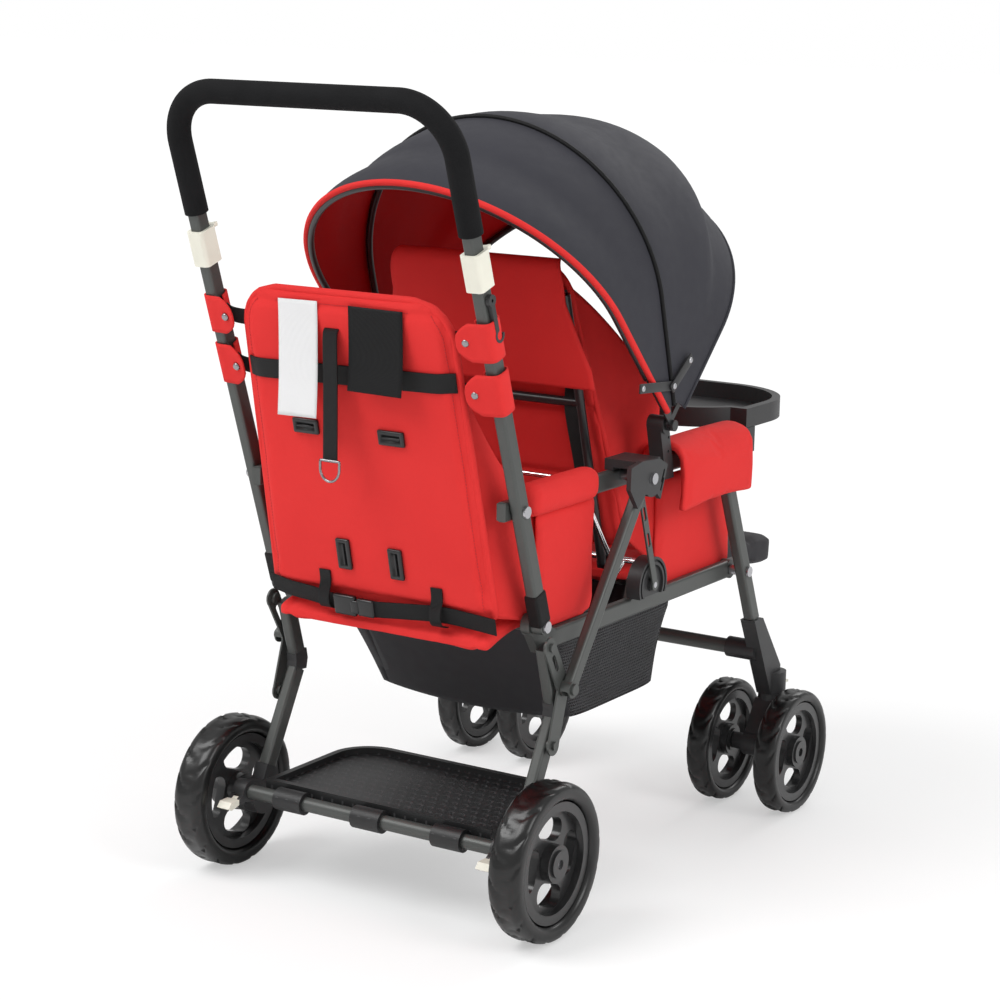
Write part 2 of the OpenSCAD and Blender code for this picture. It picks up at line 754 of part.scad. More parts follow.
function saddle_in(y) = let (x0 = saddle_x0, x1 = saddle_x1, z1 = saddle_z, w = x1 - x0)
    [[x0, y, arm_z - rail_h / 2], [x0, y, arm_z], [x0, y, z1], [x0 + w / 4, y, z1], [x0 + w / 2, y, z1],
        [x1 - w / 4, y, z1], [x1, y, z1], [x1, y, arm_z], [x1, y, (saddle_low + z1) / 2], [x1, y, saddle_low]];

module front_arm_pads() color(red) place() both() {
    y0 = hub[0] + 5 * head_r;
    y1 = arm_front_y - 2 * rail_h;
    ys = [for (s = [0 : 0.125 : 1]) y0 + s * (y1 - y0)];
    swell = [for (s = [0 : 0.125 : 1]) 4 * wall * (0.55 + 0.45 * pow(sin(20 + 140 * s), 0.5))];
    sheet([for (k = [0 : len(ys) - 1]) saddle_out(ys[k], swell[k])], [for (y = ys) saddle_in(y)]);
}

// cloth side panels hang from the arms, between them and the rails
module side_panel(x, y0, y1, low) translate([x, (y0 + y1) / 2, low]) rotate([0, 0, 90])
    pad((y1 - y0) / 2, (y1 - y0) / 2, arm_z - rail_h / 2 - gap - low, 3 * wall, 3);

module rear_side_panels() color(red) place() both()
    side_panel(rail_x, A[0] + 2 * rail_h, F[0] - rail_h, rail_z + rail_h / 2 + 2 * wall);

module front_side_panels() color(red) place() both()
    side_panel(rail_in - 4 * wall - 2 * gap, back_y + 2 * rail_h, leg_y, rail_z + rail_h / 2 + 2 * wall);

// Rear legs

module braces() color(paint) place() both() difference() {
    n = norm(F - C);
    union() {
        along(C, F, brace_x) linear_extrude(n) rrect(brace_w, brace_d, tube_round);
        for (p = [F, C]) rod(p, brace_in, brace_out, eye_share * brace_d);
    }
    along(C, F, brace_x) translate([0, 0, -brace_d]) linear_extrude(n - half_share * brace_d)
        rrect(brace_w - 2 * wall, brace_d - 2 * wall, tube_round - wall);
    bore(F, brace_in, brace_out);
    bore(C, brace_in, brace_out);
}

module knee_plates() color(paint) place() both() {
    top = A + [0, -plate_w];
    difference() {
        side(plate_in, plate_out) {
            for (p = [top, C, heel]) translate(p) circle(plate_w / 2);
            for (s = [[top, C], [C, heel]]) let (d = s[1] - s[0])
                translate(s[0]) rotate(atan2(d[1], d[0])) translate([0, gap - plate_w / 2])
                    square([norm(d), plate_w - 2 * gap]);
        }
        side(plate_in - over, plate_out + over) let (d = top - C)
            translate(C + 0.62 * d) rotate(atan2(d[1], d[0])) {
                square([plate_w * 0.7, head_r], center = true);
                for (i = [-1, 1]) translate([i * plate_w * 0.35, 0]) circle(head_r / 2);
            }
    }
    rod(C, plate_in, brace_out + gap + head_h, bolt_r);
    rod(C, brace_out + gap, brace_out + gap + head_h, head_r);
    for (p = [top + [wall, 0], heel]) {
        rod(p, tube_out + gap, plate_in + over, head_r);
        rod(p, plate_out - over, plate_out + 2 * wall, head_r - wall);
    }
}

module rear_legs() color(paint) place() {
    both() {
        tube(knee_top, knee_up, tube_x, tube_w, tube_d);
        tube(knee_low, block_p, tube_x, tube_w, tube_d);
    }
    rod([-deck_back, deck_z - deck_t], -tube_in + wall, tube_in - wall, deck_tube_r);
}

module knuckles() color(black) place() both() {
    difference() {
        side(tube_in, tube_out) polygon([knee_up + [-tube_d / 2, 0], knee_up + [tube_d / 2 + wall, wall],
            K + [0.72 * tube_d, 0], knee_low + [tube_d / 2 + wall, -wall], knee_low + [-tube_d / 2, 0],
            K + [-0.42 * tube_d, 0]]);
        room(knee_up, knee_top, tube_x, tube_w, tube_d);
        room(knee_low, block_p, tube_x, tube_w, tube_d);
    }
    plug(knee_up - 0.2 * (knee_top - knee_up), knee_up + 0.4 * (knee_top - knee_up), tube_x, tube_w, tube_d);
    plug(knee_low - 0.1 * (block_p - knee_low), knee_low + 0.25 * (block_p - knee_low), tube_x, tube_w, tube_d);
    plug(knee_top + 0.2 * (knee_up - knee_top), knee_top, tube_x, tube_w, tube_d);
}

module axle_blocks() color(black) place() both() difference() {
    back = deck_p;
    union() {
        difference() {
            side(tube_in - wall, tube_out + wall) {
                translate(axle) circle(1.1 * tube_d);
                translate(axle) rotate(atan2(K[1] - axle[1], K[0])) translate([0, -tube_d / 2 - wall])
                    square([norm(block_p - axle), tube_d + 2 * wall]);
                translate(back) circle(deck_tube_r + 3 * wall);
                polygon([back - [0, deck_tube_r + 3 * wall], axle - [0, tube_d], axle + [0, tube_d],
                    back + [0, deck_tube_r + 3 * wall]]);
            }
            for (s = [[tube_in - 2 * wall, tube_out + 2 * wall]]) rod(brake_p, s[0], s[1], 3 * wall + gap);
            room(block_p, knee_low, tube_x, tube_w, tube_d);
        }
        for (s = [[tube_in - wall, ear_in], [ear_out, tube_out + wall]]) side(s[0], s[1]) {
            translate(brake_p) circle(3 * wall);
            translate(deck_p) rotate(180 + brake_dip) translate([deck_tube_r + wall, -3 * wall])
                square([norm(brake_p - deck_p) - deck_tube_r - wall, 6 * wall]);
        }
        rod(brake_p, tube_in - wall, tube_out + wall, bolt_r / 2);
        plug(block_p - 0.15 * (knee_low - block_p), block_p + 0.2 * (knee_low - block_p), tube_x, tube_w, tube_d);
    }
    rod(back, -tube_in, tube_in - wall + gap, deck_tube_r + gap);
    rod(axle, tube_in - 2 * wall, tube_out + 2 * wall, axle_r + bore_gap);
}

module rear_axles() color(steel) place() both() {
    rod(axle, tube_in - 2 * wall, rear_track + rear_wheel_w / 2 - 2 * wall, axle_r);
    rod(axle, tube_in - wall - gap - head_h, tube_in - wall - gap, 1.4 * axle_r);
    rod(axle, tube_out + wall + gap, rear_track - rear_wheel_w / 2 - gap, 1.6 * axle_r);
}

// the platform's outline, drawn from above
module deck_outline(inset) {
    w = deck_half - inset;
    y0 = -deck_back + deck_tube_r + 2 * wall + inset;
    y1 = deck_front - inset;
    r = deck_round - inset;
    translate([-w, y0]) square([2 * w, y1 - y0 - r]);
    translate([-w + r, y0]) square([2 * w - 2 * r, y1 - y0]);
    for (i = [-1, 1]) translate([i * (w - r), y1 - r]) circle(r);
}

module platform() color(black) place() {
    translate([0, 0, deck_z - deck_t]) linear_extrude(deck_t) deck_outline(0);
    translate([0, 0, deck_z - over]) linear_extrude(deck_rim + over) difference() {
        deck_outline(0);
        deck_outline(deck_rim);
    }
    for (i = [-3 : 3]) translate([i * deck_half / 4 - wall, 0, deck_z - 2 * deck_t])
        cube([2 * wall, deck_front - deck_round, deck_t + over]);
    for (i = [-0.7, 0, 0.7]) difference() {
        translate([i * deck_half - tube_d, -deck_back, deck_z - deck_t]) rotate([0, 90, 0])
            cylinder(r = deck_tube_r + 3 * wall, h = 2 * tube_d);
        translate([i * deck_half - tube_d - over, -deck_back, deck_z - deck_t]) rotate([0, 90, 0])
            cylinder(r = deck_tube_r + gap, h = 2 * tube_d + 2 * over);
    }
}

// a brake lever on a pin between two ears of the axle block
module brake_pedal() difference() {
    union() {
        side(ear_in + gap, ear_out - gap) {
            translate(brake_p) circle(3 * wall);
            translate(brake_p - [4 * wall, 2 * wall]) square([4 * wall, 4 * wall]);
        }
        side(tube_in - wall, tube_out + wall) polygon([brake_p + [-3 * wall - 2 * gap, 2 * wall],
            brake_p + [-tube_d, 2 * wall], brake_p + [-1.3 * tube_d, -2 * wall],
            brake_p + [-tube_d, -4 * wall], brake_p + [-3 * wall - 2 * gap, -2 * wall]]);
    }
    rod(brake_p, tube_in, tube_out, bolt_r / 2 + bore_gap);
}

module brake_pedal_r() color(cream) place() brake_pedal();
module brake_pedal_l() color(cream) place() mirror([1, 0, 0]) brake_pedal();

// Wheels, drawn at the origin with the axle along X

module tyre(r, rim, w) rotate([0, 90, 0]) rotate_extrude($fn = 96) difference() {
    translate([(r + rim) / 2, 0]) rrect(r - rim, w, (r - rim) * 0.46);
    translate([rim, 0]) circle((r - rim) * 0.16);
}

// a dished disc with four curved openings, a rim and a boss
module wheel_hub(rim, w) {
    seat = rim - gap;
    boss = rim * 0.31;
    difference() {
        rotate([0, 90, 0]) {
            difference() {
                cylinder(r = seat, h = w * 0.72, center = true, $fn = 96);
                for (i = [-1, 1]) translate([0, 0, i * w * 0.5]) cylinder(r = rim * 0.84, h = w * 0.72, center = true, $fn = 96);
            }
            cylinder(r = boss, h = w * 0.86, center = true);
            cylinder(r = boss * 0.72, h = w, center = true);
        }
        rotate([0, 90, 0]) for (i = [0 : 3]) rotate(90 * i) linear_extrude(w, center = true)
            translate([rim * 0.56, 0]) rotate(72) rrect(rim * 0.72, rim * 0.38, rim * 0.18);
        rod([0, 0], -w, w, axle_r + bore_gap);
    }
}

module at_rear(s) place() translate([s * rear_track, axle[0], axle[1]]) children();
module at_front(s, i) place() translate([s * (front_track + i * pair_half), wheel_base, front_wheel_r]) children();

module rear_tyre_l() color(black) at_rear(-1) tyre(rear_wheel_r, rear_rim_r, rear_wheel_w);
module rear_tyre_r() color(black) at_rear(1) tyre(rear_wheel_r, rear_rim_r, rear_wheel_w);
module rear_hub_l() color(black) at_rear(-1) wheel_hub(rear_rim_r, rear_wheel_w);
module rear_hub_r() color(black) at_rear(1) wheel_hub(rear_rim_r, rear_wheel_w);
module front_tyre_lo() color(black) at_front(-1, 1) tyre(front_wheel_r, front_rim_r, front_wheel_w);
module front_tyre_li() color(black) at_front(-1, -1) tyre(front_wheel_r, front_rim_r, front_wheel_w);
module front_tyre_ri() color(black) at_front(1, -1) tyre(front_wheel_r, front_rim_r, front_wheel_w);
module front_tyre_ro() color(black) at_front(1, 1) tyre(front_wheel_r, front_rim_r, front_wheel_w);
module front_hub_lo() color(black) at_front(-1, 1) wheel_hub(front_rim_r, front_wheel_w);
module front_hub_li() color(black) at_front(-1, -1) wheel_hub(front_rim_r, front_wheel_w);
module front_hub_ri() color(black) at_front(1, -1) wheel_hub(front_rim_r, front_wheel_w);
module front_hub_ro() color(black) at_front(1, 1) wheel_hub(front_rim_r, front_wheel_w);

// Front legs

leg_top = H - link_len * leg_v;

module front_leg_tubes() color(paint) place() both() difference() {
    n = norm(socket_p - leg_top);
    union() {
        along(socket_p, leg_top, leg_x) linear_extrude(n) rrect(tube_w, tube_d, tube_round);
        rod(T, leg_in + gap, leg_out - gap, eye_share * tube_d);
    }
    along(socket_p, leg_top, leg_x) translate([0, 0, -over]) linear_extrude(n - 1.4 * tube_d + over)
        rrect(tube_w - 2 * wall, tube_d - 2 * wall, tube_round - wall);
    bore(T, leg_in, leg_out);
    bore(H, leg_in, leg_out);
}

module leg_sockets() color(black) place() both() difference() {
    end = [swivel_y, socket_z];
    union() {
        difference() {
            side(leg_in - 2 * wall, leg_out + 2 * wall) polygon([socket_p + [-0.6 * tube_d, 0],
                socket_p + [0.62 * tube_d, 0], end + [0.4 * boss_r, 2 * boss_r], end + [0.4 * boss_r, 0],
                end - [boss_r, 0], end + [-1.5 * boss_r, boss_r]]);
            room(socket_p, leg_top, leg_x, tube_w, tube_d);
        }
        translate([front_track, swivel_y, socket_z]) cylinder(r = boss_r, h = 1.6 * boss_r);
        plug(socket_p + rail_h * leg_v, socket_p - 1.4 * rail_h * leg_v, leg_x, tube_w, tube_d);
        rod([cross_y, cross_z], leg_in - 3 * rail_w, leg_x, cross_r + 2.5 * wall);
    }
    translate([front_track, swivel_y, socket_z - over]) cylinder(r = stem_r + bore_gap, h = 1.2 * boss_r + over);
    rod([cross_y, cross_z], -leg_in, leg_in - wall, cross_r + gap);
}
cross_y = H[0] + (H[1] - cross_z) * tan(leg_lean);

module front_cross_tube() color(paint) place() rod([cross_y, cross_z], wall * 2 - leg_in, leg_in - wall * 2, cross_r);

// a swivel head with its stem and the axle of its two wheels
module caster() translate([front_track, 0, 0]) {
    w = pair_half - front_wheel_w / 2 - 3 * gap;
    top = socket_z - gap;
    translate([0, swivel_y, front_wheel_r + axle_r]) cylinder(r = stem_r, h = socket_z + boss_r - front_wheel_r - axle_r);
    translate([0, swivel_y, top - 0.9 * boss_r]) cylinder(r = boss_r, h = 0.9 * boss_r);
    side(-0.5 * w, 0.5 * w) {
        translate([wheel_base, front_wheel_r]) circle(3 * axle_r);
        polygon([[wheel_base - 3 * axle_r, front_wheel_r], [wheel_base, front_wheel_r - 3 * axle_r],
            [swivel_y + 0.7 * boss_r, top - 1.6 * boss_r], [swivel_y + 0.7 * boss_r, top - 0.4 * boss_r],
            [swivel_y - 0.9 * boss_r, top - 0.4 * boss_r]]);
    }
    rod([wheel_base, front_wheel_r], -w, w, 2 * axle_r);
    rod([wheel_base, front_wheel_r], -pair_half - front_wheel_w * 0.4, pair_half + front_wheel_w * 0.4, axle_r);
}

module caster_r() color(black) place() caster();
module caster_l() color(black) place() mirror([1, 0, 0]) caster();

// a flip tab on the front of the socket that locks the swivel
lock_p = [swivel_y + boss_r + 2 * wall, socket_z + 0.6 * boss_r];

module swivel_lock() side(front_track - boss_r / 2, front_track + boss_r / 2) {
    translate(lock_p) circle(1.6 * wall);
    polygon([lock_p + [0, 1.6 * wall], lock_p + [boss_r * 0.48, 0], lock_p + [boss_r * 0.48, -2 * wall],
        lock_p + [0, -1.6 * wall]]);
}

module swivel_lock_r() color(cream) place() swivel_lock();
module swivel_lock_l() color(cream) place() mirror([1, 0, 0]) swivel_lock();

// Tray

module tray_outline(inset) {
    w = tray_half - inset;
    y0 = tray_back + inset;
    y1 = tray_front - inset;
    r = (tray_front - tray_back) * 0.62 - inset;
    translate([-w, y0]) square([2 * w, y1 - y0 - r]);
    translate([-w + r, y0]) square([2 * w - 2 * r, y1 - y0]);
    for (i = [-1, 1]) translate([i * (w - r), y1 - r]) circle(r);
}

module tray() color(black) place() {
    difference() {
        translate([0, 0, tray_top - tray_deep - tray_wall]) linear_extrude(tray_deep + tray_wall) tray_outline(0);
        translate([0, 0, tray_top - tray_deep]) linear_extrude(tray_deep + over) tray_outline(3 * tray_wall);
    }
    for (i = [-1, 1]) difference() {
        translate([i * rail_x - rail_w / 2 - 3 * wall, arm_front_y - 1.4 * rail_h, arm_z - rail_h / 2 - 3 * wall])
            cube([rail_w + 6 * wall, tray_back + 2 * rail_w - arm_front_y + 1.4 * rail_h, rail_h + 6 * wall]);
        translate([i * rail_x - rail_w / 2 - gap, arm_front_y - 3 * rail_h, arm_z - rail_h / 2 - gap])
            cube([rail_w + 2 * gap, 3 * rail_h + 2 * wall + gap, rail_h + 2 * gap]);
        translate([i * rail_x, arm_front_y - rail_h / 2, arm_z]) rotate([0, i * 90, 0])
            cylinder(r = head_r + gap, h = rail_w / 2 + 4 * wall);
    }
}

// a round push button set in the side of the tray's sleeve
module tray_button() rod([arm_front_y - rail_h / 2, arm_z], rail_out + wall + 2 * gap, rail_out + 5 * wall, head_r);

module tray_button_r() color(cream) place() tray_button();
module tray_button_l() color(cream) place() mirror([1, 0, 0]) tray_button();

// Front seat back

module in_back() place() translate([0, back_y, back_z]) rotate([back_lean, 0, 0]) children();

// the back's frame: two uprights with eyes, a rod across and a top rail
module front_back_frame() color(black) in_back() {
    r = rail_h / 4;
    x = back_half - 3 * r;
    y = -pad_t / 2 - r + gap;
    both() {
        translate([x, y, 0]) cylinder(r = r, h = back_len * 0.92);
        difference() {
            translate([x - r, 0, 0]) rotate([0, 90, 0]) cylinder(r = 2 * r, h = 2 * r);
            translate([x - r - over, 0, 0]) rotate([0, 90, 0]) cylinder(r = bolt_r + bore_gap, h = 2 * r + 2 * over);
        }
        translate([x - r, y - r / 2, -r]) cube([2 * r, -y + r / 2 - bolt_r - wall, 2 * r - wall]);
    }
    for (s = [0.56, 0.92]) translate([-x, y, back_len * s]) rotate([0, 90, 0]) cylinder(r = r, h = 2 * x);
}

module front_seat_back() color(red) in_back() translate([0, 0, pad_t])
    pad(back_half, back_half * 0.84, back_len - pad_t, pad_t, 4);

// a thin wire bail behind the back that catches it when reclined
bail_lean = 20;

module recline_bail() color(steel) place() translate([0, back_y, back_z]) {
    r = bolt_r * 0.8;
    x = back_half - rail_h / 4 - 2 * gap;
    h = back_len * 0.42;
    both() {
        rotate([back_lean + bail_lean, 0, 0]) translate([x + rail_h / 2, -pad_t, 0]) {
            cylinder(r = r, h = h);
            sphere(r);
            translate([0, 0, h]) sphere(r);
        }
        translate([x - 1.5 * rail_h, 0, 0]) rotate([0, 90, 0]) cylinder(r = bolt_r, h = rail_out - x + 1.5 * rail_h);
        rotate([back_lean + bail_lean, 0, 0]) translate([x + rail_h / 2, -pad_t, 0]) rotate([-90, 0, 0])
            cylinder(r = r, h = pad_t);
    }
    rotate([back_lean + bail_lean, 0, 0]) translate([-x - rail_h / 2, -pad_t, h]) rotate([0, 90, 0])
        cylinder(r = r, h = 2 * x + rail_h);
}

lower_frame();
frame_bolts();
recline_quadrants();
strap_links();
front_seat_cushion();
rear_seat_cushion();
leg_rest();
basket();
handle_tube();
handle_foam();
rear_seat_back();
latch_collar_l();
latch_collar_r();
storage_catch();
arm_rails();
arm_bolts();
hinge_housings();
canopy_hubs();
front_bow();
mid_bow();
rear_bow();
canopy_front();
canopy_rear();
front_arm_pads();
rear_side_panels();
front_side_panels();
braces();
knee_plates();
rear_legs();
knuckles();
axle_blocks();
rear_axles();
platform();
brake_pedal_l();
brake_pedal_r();
rear_tyre_l();
rear_tyre_r();
rear_hub_l();
rear_hub_r();
front_leg_tubes();
leg_sockets();
front_cross_tube();
caster_l();
caster_r();
front_tyre_lo();
front_tyre_li();
front_tyre_ri();
front_tyre_ro();
front_hub_lo();
front_hub_li();
front_hub_ri();
front_hub_ro();
swivel_lock_l();
swivel_lock_r();
tray();
tray_button_l();
tray_button_r();
front_back_frame();
front_seat_back();
recline_bail();
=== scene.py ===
# %% [markdown]
# A tandem pushchair is a folding steel frame dressed in padded cloth. The frame comes packed from CAD and
# stays fixed. This lesson adds the looks: finishes for the hard parts, then each soft piece in turn.

# %% Load the frame
import math

import bmesh
import bpy
import numpy as np
from mathutils import Matrix, Vector
from mathutils.bvhtree import BVHTree


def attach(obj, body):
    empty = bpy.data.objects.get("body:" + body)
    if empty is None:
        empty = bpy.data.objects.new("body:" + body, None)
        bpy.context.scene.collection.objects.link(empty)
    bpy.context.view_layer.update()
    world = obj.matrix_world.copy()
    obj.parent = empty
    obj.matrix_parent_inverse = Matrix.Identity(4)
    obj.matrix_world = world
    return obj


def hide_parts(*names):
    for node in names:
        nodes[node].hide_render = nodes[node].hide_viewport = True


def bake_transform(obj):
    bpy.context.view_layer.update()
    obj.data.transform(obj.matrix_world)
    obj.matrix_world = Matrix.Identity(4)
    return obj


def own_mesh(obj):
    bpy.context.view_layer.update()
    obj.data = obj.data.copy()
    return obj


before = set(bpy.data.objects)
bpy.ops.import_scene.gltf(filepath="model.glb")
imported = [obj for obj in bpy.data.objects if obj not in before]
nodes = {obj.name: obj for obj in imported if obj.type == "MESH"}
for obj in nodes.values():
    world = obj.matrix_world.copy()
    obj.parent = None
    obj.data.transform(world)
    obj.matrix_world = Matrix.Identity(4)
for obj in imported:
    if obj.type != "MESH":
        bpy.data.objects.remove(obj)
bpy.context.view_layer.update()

# %% [markdown]
# Side positions on the drawing are measured forward of the rear axle, in millimetres. One small function turns
# them into the shared frame, in metres. Another does the same for points in a piece's own frame.

# %% Positions
MID = 305.249
HANDS = ((1, "r"), (-1, "l"))


def at(x, ys, z):
    return Vector((x / 1000, (ys - MID) / 1000, z / 1000))


def spots(place, rows):
    """Points in millimetres in the frame of a piece."""
    return [place @ Vector((x / 1000, y / 1000, z / 1000)) for x, y, z in rows]


LEAN = math.radians(18.9)
FOLD = at(0, 49, 387)
HUB = at(0, 330, 605)
print("fold pivot", FOLD[:], "canopy hub", HUB[:])

# %% [markdown]
# The photograph was taken from behind and to the right, a little above the push bar's height. A long lens keeps
# the two wheels of a side nearly the same size, so the lens and the place were solved together.

# %% Camera
FOCAL_PX, IMAGE_PX, SENSOR_MM = 2533, 1000, 36
az, el, roll = math.radians(32.52), math.radians(11.66), math.radians(1.03)
back = Vector((math.sin(az) * math.cos(el), -math.cos(az) * math.cos(el), math.sin(el)))
right = (-back).cross(Vector((0, 0, 1))).normalized()
up = right.cross(-back)
right, up = right * math.cos(roll) + up * math.sin(roll), up * math.cos(roll) - right * math.sin(roll)
cam = bpy.data.objects.new("camera", bpy.data.cameras.new("camera"))
bpy.context.scene.collection.objects.link(cam)
cam.data.sensor_width = SENSOR_MM
cam.data.lens = FOCAL_PX * SENSOR_MM / IMAGE_PX
cam.matrix_world = Matrix.Translation(at(1805, -2563, 1179)) @ Matrix((right, up, back)).transposed().to_4x4()
bpy.context.scene.camera = cam
print("camera at", [round(v, 3) for v in cam.location], "lens", round(cam.data.lens, 1))

# %% [markdown]
# A formula is easier to read than a web of nodes. A small class wraps a socket, so that plus, minus and times
# add the Math nodes, and one method makes any other node.

# %% Formulas for finishes


class Wire:
    """A socket that can stand in a formula."""

    def __init__(self, tree, socket):
        self.tree, self.socket = tree, socket

    def math(self, operation, *values):
        n = self.tree.nodes.new("ShaderNodeMath")
        n.operation = operation
        for socket, value in zip(n.inputs, values):
            plug(self.tree, socket, value)
        return Wire(self.tree, n.outputs[0])

    def __add__(self, o): return self.math("ADD", self, o)
    def __radd__(self, o): return self.math("ADD", o, self)
    def __sub__(self, o): return self.math("SUBTRACT", self, o)
    def __rsub__(self, o): return self.math("SUBTRACT", o, self)
    def __mul__(self, o): return self.math("MULTIPLY", self, o)
    def __truediv__(self, o): return self.math("DIVIDE", self, o)
    def __gt__(self, o): return self.math("GREATER_THAN", self, o)
    def __lt__(self, o): return self.math("LESS_THAN", self, o)
    def sin(self): return self.math("SINE", self)
    def abs(self): return self.math("ABSOLUTE", self)
    def root(self): return self.math("SQRT", self)
    def part(self): return self.math("FRACT", self)


def plug(tree, socket, value):
    if isinstance(value, Wire):
        tree.links.new(value.socket, socket)
    elif isinstance(value, tuple) and len(value) == 3 and socket.type == "RGBA":
        socket.default_value = (*value, 1.0)
    else:
        socket.default_value = value


class Finish:
    """One material: its shader, its coordinates and its nodes."""

    def __init__(self, name, color, rough=0.5, **values):
        self.mat = bpy.data.materials.new(name)
        self.mat.use_nodes = True
        self.tree = self.mat.node_tree
        self.shader = self.tree.nodes["Principled BSDF"]
        self.set({"Base Color": color, "Roughness": rough})
        self.set({k.replace("_", " "): v for k, v in values.items()})
        self.mat.diffuse_color = (*color, 1)

    def set(self, values):
        for k, v in values.items():
            plug(self.tree, self.shader.inputs[k], v)
        return self

    def node(self, kind, settings=None, values=None, out=0):
        n = self.tree.nodes.new("ShaderNode" + kind)
        for k, v in (settings or {}).items():
            if k == "stops":
                ramp = n.color_ramp
                while len(ramp.elements) < len(v):
                    ramp.elements.new(0.5)
                for e, (p, c) in zip(ramp.elements, v):
                    e.position, e.color = p, (*c, 1.0)
            else:
                setattr(n, k, v)
        for k, v in (values or {}).items():
            plug(self.tree, n.inputs[k], v)
        return Wire(self.tree, n.outputs[out])

    def coords(self):
        return self.node("TexCoord", out="Object")

    def axes(self):
        split = self.node("SeparateXYZ", values={0: self.coords()})
        return [Wire(self.tree, o) for o in split.socket.node.outputs]

    def noise(self, scale, detail=2.0, rough=0.5):
        values = {"Vector": self.coords(), "Scale": scale, "Detail": detail, "Roughness": rough}
        return self.node("TexNoise", values=values)

    def mix(self, factor, a, b):
        return self.node("Mix", {"data_type": "RGBA"}, {0: factor, 6: a, 7: b}, out=2)

    def bump(self, height, distance, strength=1.0):
        wire = self.node("Bump", values={"Strength": strength, "Distance": distance, "Height": height})
        return self.set({"Normal": wire})


print("formula tools ready")

# %% [markdown]
# The backdrop is white, with a soft shadow under the wheels. The world gives even light from all sides, and one
# wide lamp above the left shoulder gives the cloth its soft modelling. White comes from the floor's own colour.

# %% Floor and light
SKY_LIGHT = 0.58
WHITE_NEAR, FADE_FROM, FADE_RATE = 0.42, 0.75, 0.55


def make_world():
    world = bpy.data.worlds.new("studio")
    bpy.context.scene.world = world
    world.use_nodes = True
    tree = world.node_tree
    sky = tree.nodes["Background"]
    path = tree.nodes.new("ShaderNodeLightPath")
    seen = Wire(tree, path.outputs["Is Camera Ray"])
    plug(tree, sky.inputs["Color"], (1.0, 1.0, 1.0))
    plug(tree, sky.inputs["Strength"], seen * (1 - SKY_LIGHT) + SKY_LIGHT)


def lamp(name, place, target, size, power):
    light = bpy.data.lights.new(name, "AREA")
    light.shape, light.size, light.energy = "DISK", size, power
    obj = bpy.data.objects.new(name, light)
    bpy.context.scene.collection.objects.link(obj)
    obj.location = place
    obj.rotation_mode = "QUATERNION"
    obj.rotation_quaternion = (Vector(target) - Vector(place)).to_track_quat("-Z", "Y")


def make_floor():
    bm = bmesh.new()
    bmesh.ops.create_grid(bm, x_segments=8, y_segments=8, size=30)
    mesh = bpy.data.meshes.new("floor")
    bm.to_mesh(mesh)
    bm.free()
    floor = bpy.data.objects.new("floor", mesh)
    bpy.context.scene.collection.objects.link(floor)
    paint = Finish("floor white", (0.92, 0.92, 0.92), 0.9)
    white = paint.node("Emission", values={"Color": (1.0, 1.0, 1.0), "Strength": 1.06})
    x, y, z = paint.axes()
    far = ((x * x + y * y).root() - FADE_FROM) * FADE_RATE
    spread = WHITE_NEAR + far.math("MAXIMUM", far, 0.0)
    share = spread.math("MINIMUM", 1.0, spread)
    path = paint.node("LightPath", out="Is Camera Ray")
    plain = Wire(paint.tree, paint.shader.outputs[0])
    both = paint.node("MixShader", values={0: path * share, 1: plain, 2: white})
    paint.tree.links.new(both.socket, paint.tree.nodes["Material Output"].inputs["Surface"])
    mesh.materials.append(paint.mat)


make_world()
make_floor()
lamp("key", (-1.6, -2.4, 3.6), (0, 0, 0.5), 2.6, 105)
lamp("side", (3.2, -0.6, 2.2), (0, 0, 0.5), 2.0, 46)
lamp("front", (0.2, 3.2, 2.8), (0, 0, 0.6), 2.2, 36)
bpy.context.scene.view_settings.view_transform = "Standard"
print("studio ready")

# %% [markdown]
# The frame is steel tube with a satin gunmetal paint. Paint isn't one flat colour: fine flakes catch the light,
# and the gloss drifts a little along a tube.

# %% Hard finishes


def gunmetal():
    f = Finish("gunmetal paint", (0.1, 0.108, 0.105), 0.4, Metallic=0.35)
    flake = f.noise(900, 1)
    drift = f.noise(9, 3)
    tone = f.mix(flake * 0.5 + drift * 0.35, (0.058, 0.062, 0.059), (0.105, 0.11, 0.105))
    f.set({"Base Color": tone, "Roughness": drift * 0.16 + 0.33})
    return f.bump(flake, 0.0002, 0.25).mat


def moulded(name, color, rough, grain=1400, depth=0.00012, coat=0.0):
    f = Finish(name, color, rough, Coat_Weight=coat)
    grains = f.noise(grain, 2)
    drift = f.noise(14, 3)
    pale = tuple(min(1.0, c * 1.35 + 0.003) for c in color)
    f.set({"Base Color": f.mix(drift, color, pale), "Roughness": rough - 0.07 + drift * 0.16})
    return f.bump(grains, depth, 0.5).mat


def deck_plastic():
    """Moulded plastic with rows of small raised crescents that keep a shoe from slipping. The crescents are also
    painted lighter than the deck, a painted highlight for the light their raised edges catch.
    """
    f = Finish("deck plastic", (0.017, 0.0175, 0.019), 0.5)
    x, y, z = f.axes()
    pitch, tread_low, tread_high = 0.0165, 0.1215, 0.1262
    row = (y / pitch).math("FLOOR", y / pitch)
    u = (x / pitch + row * 0.5).part() - 0.5
    v = (y / pitch).part() - 0.5
    ring = (u * u + v * v).root()
    tread = (z > tread_low) * (z < tread_high)
    crescent_and_highlight = ((ring - 0.3).abs() < 0.085) * (v + u * 0.4 > 0.0) * tread
    drift = f.noise(10, 3)
    # Painted highlight: the crescents take a lighter colour than the deck, standing for the light their raised rims
    # catch; their relief itself comes from the bump.
    tone = f.mix(crescent_and_highlight, (0.0125, 0.0127, 0.0133), (0.05, 0.05, 0.052))
    f.set({"Base Color": tone, "Roughness": 0.38 + drift * 0.14 + crescent_and_highlight * 0.1})
    return f.bump(crescent_and_highlight + f.noise(1300, 1) * 0.1, 0.0016, 1.0).mat


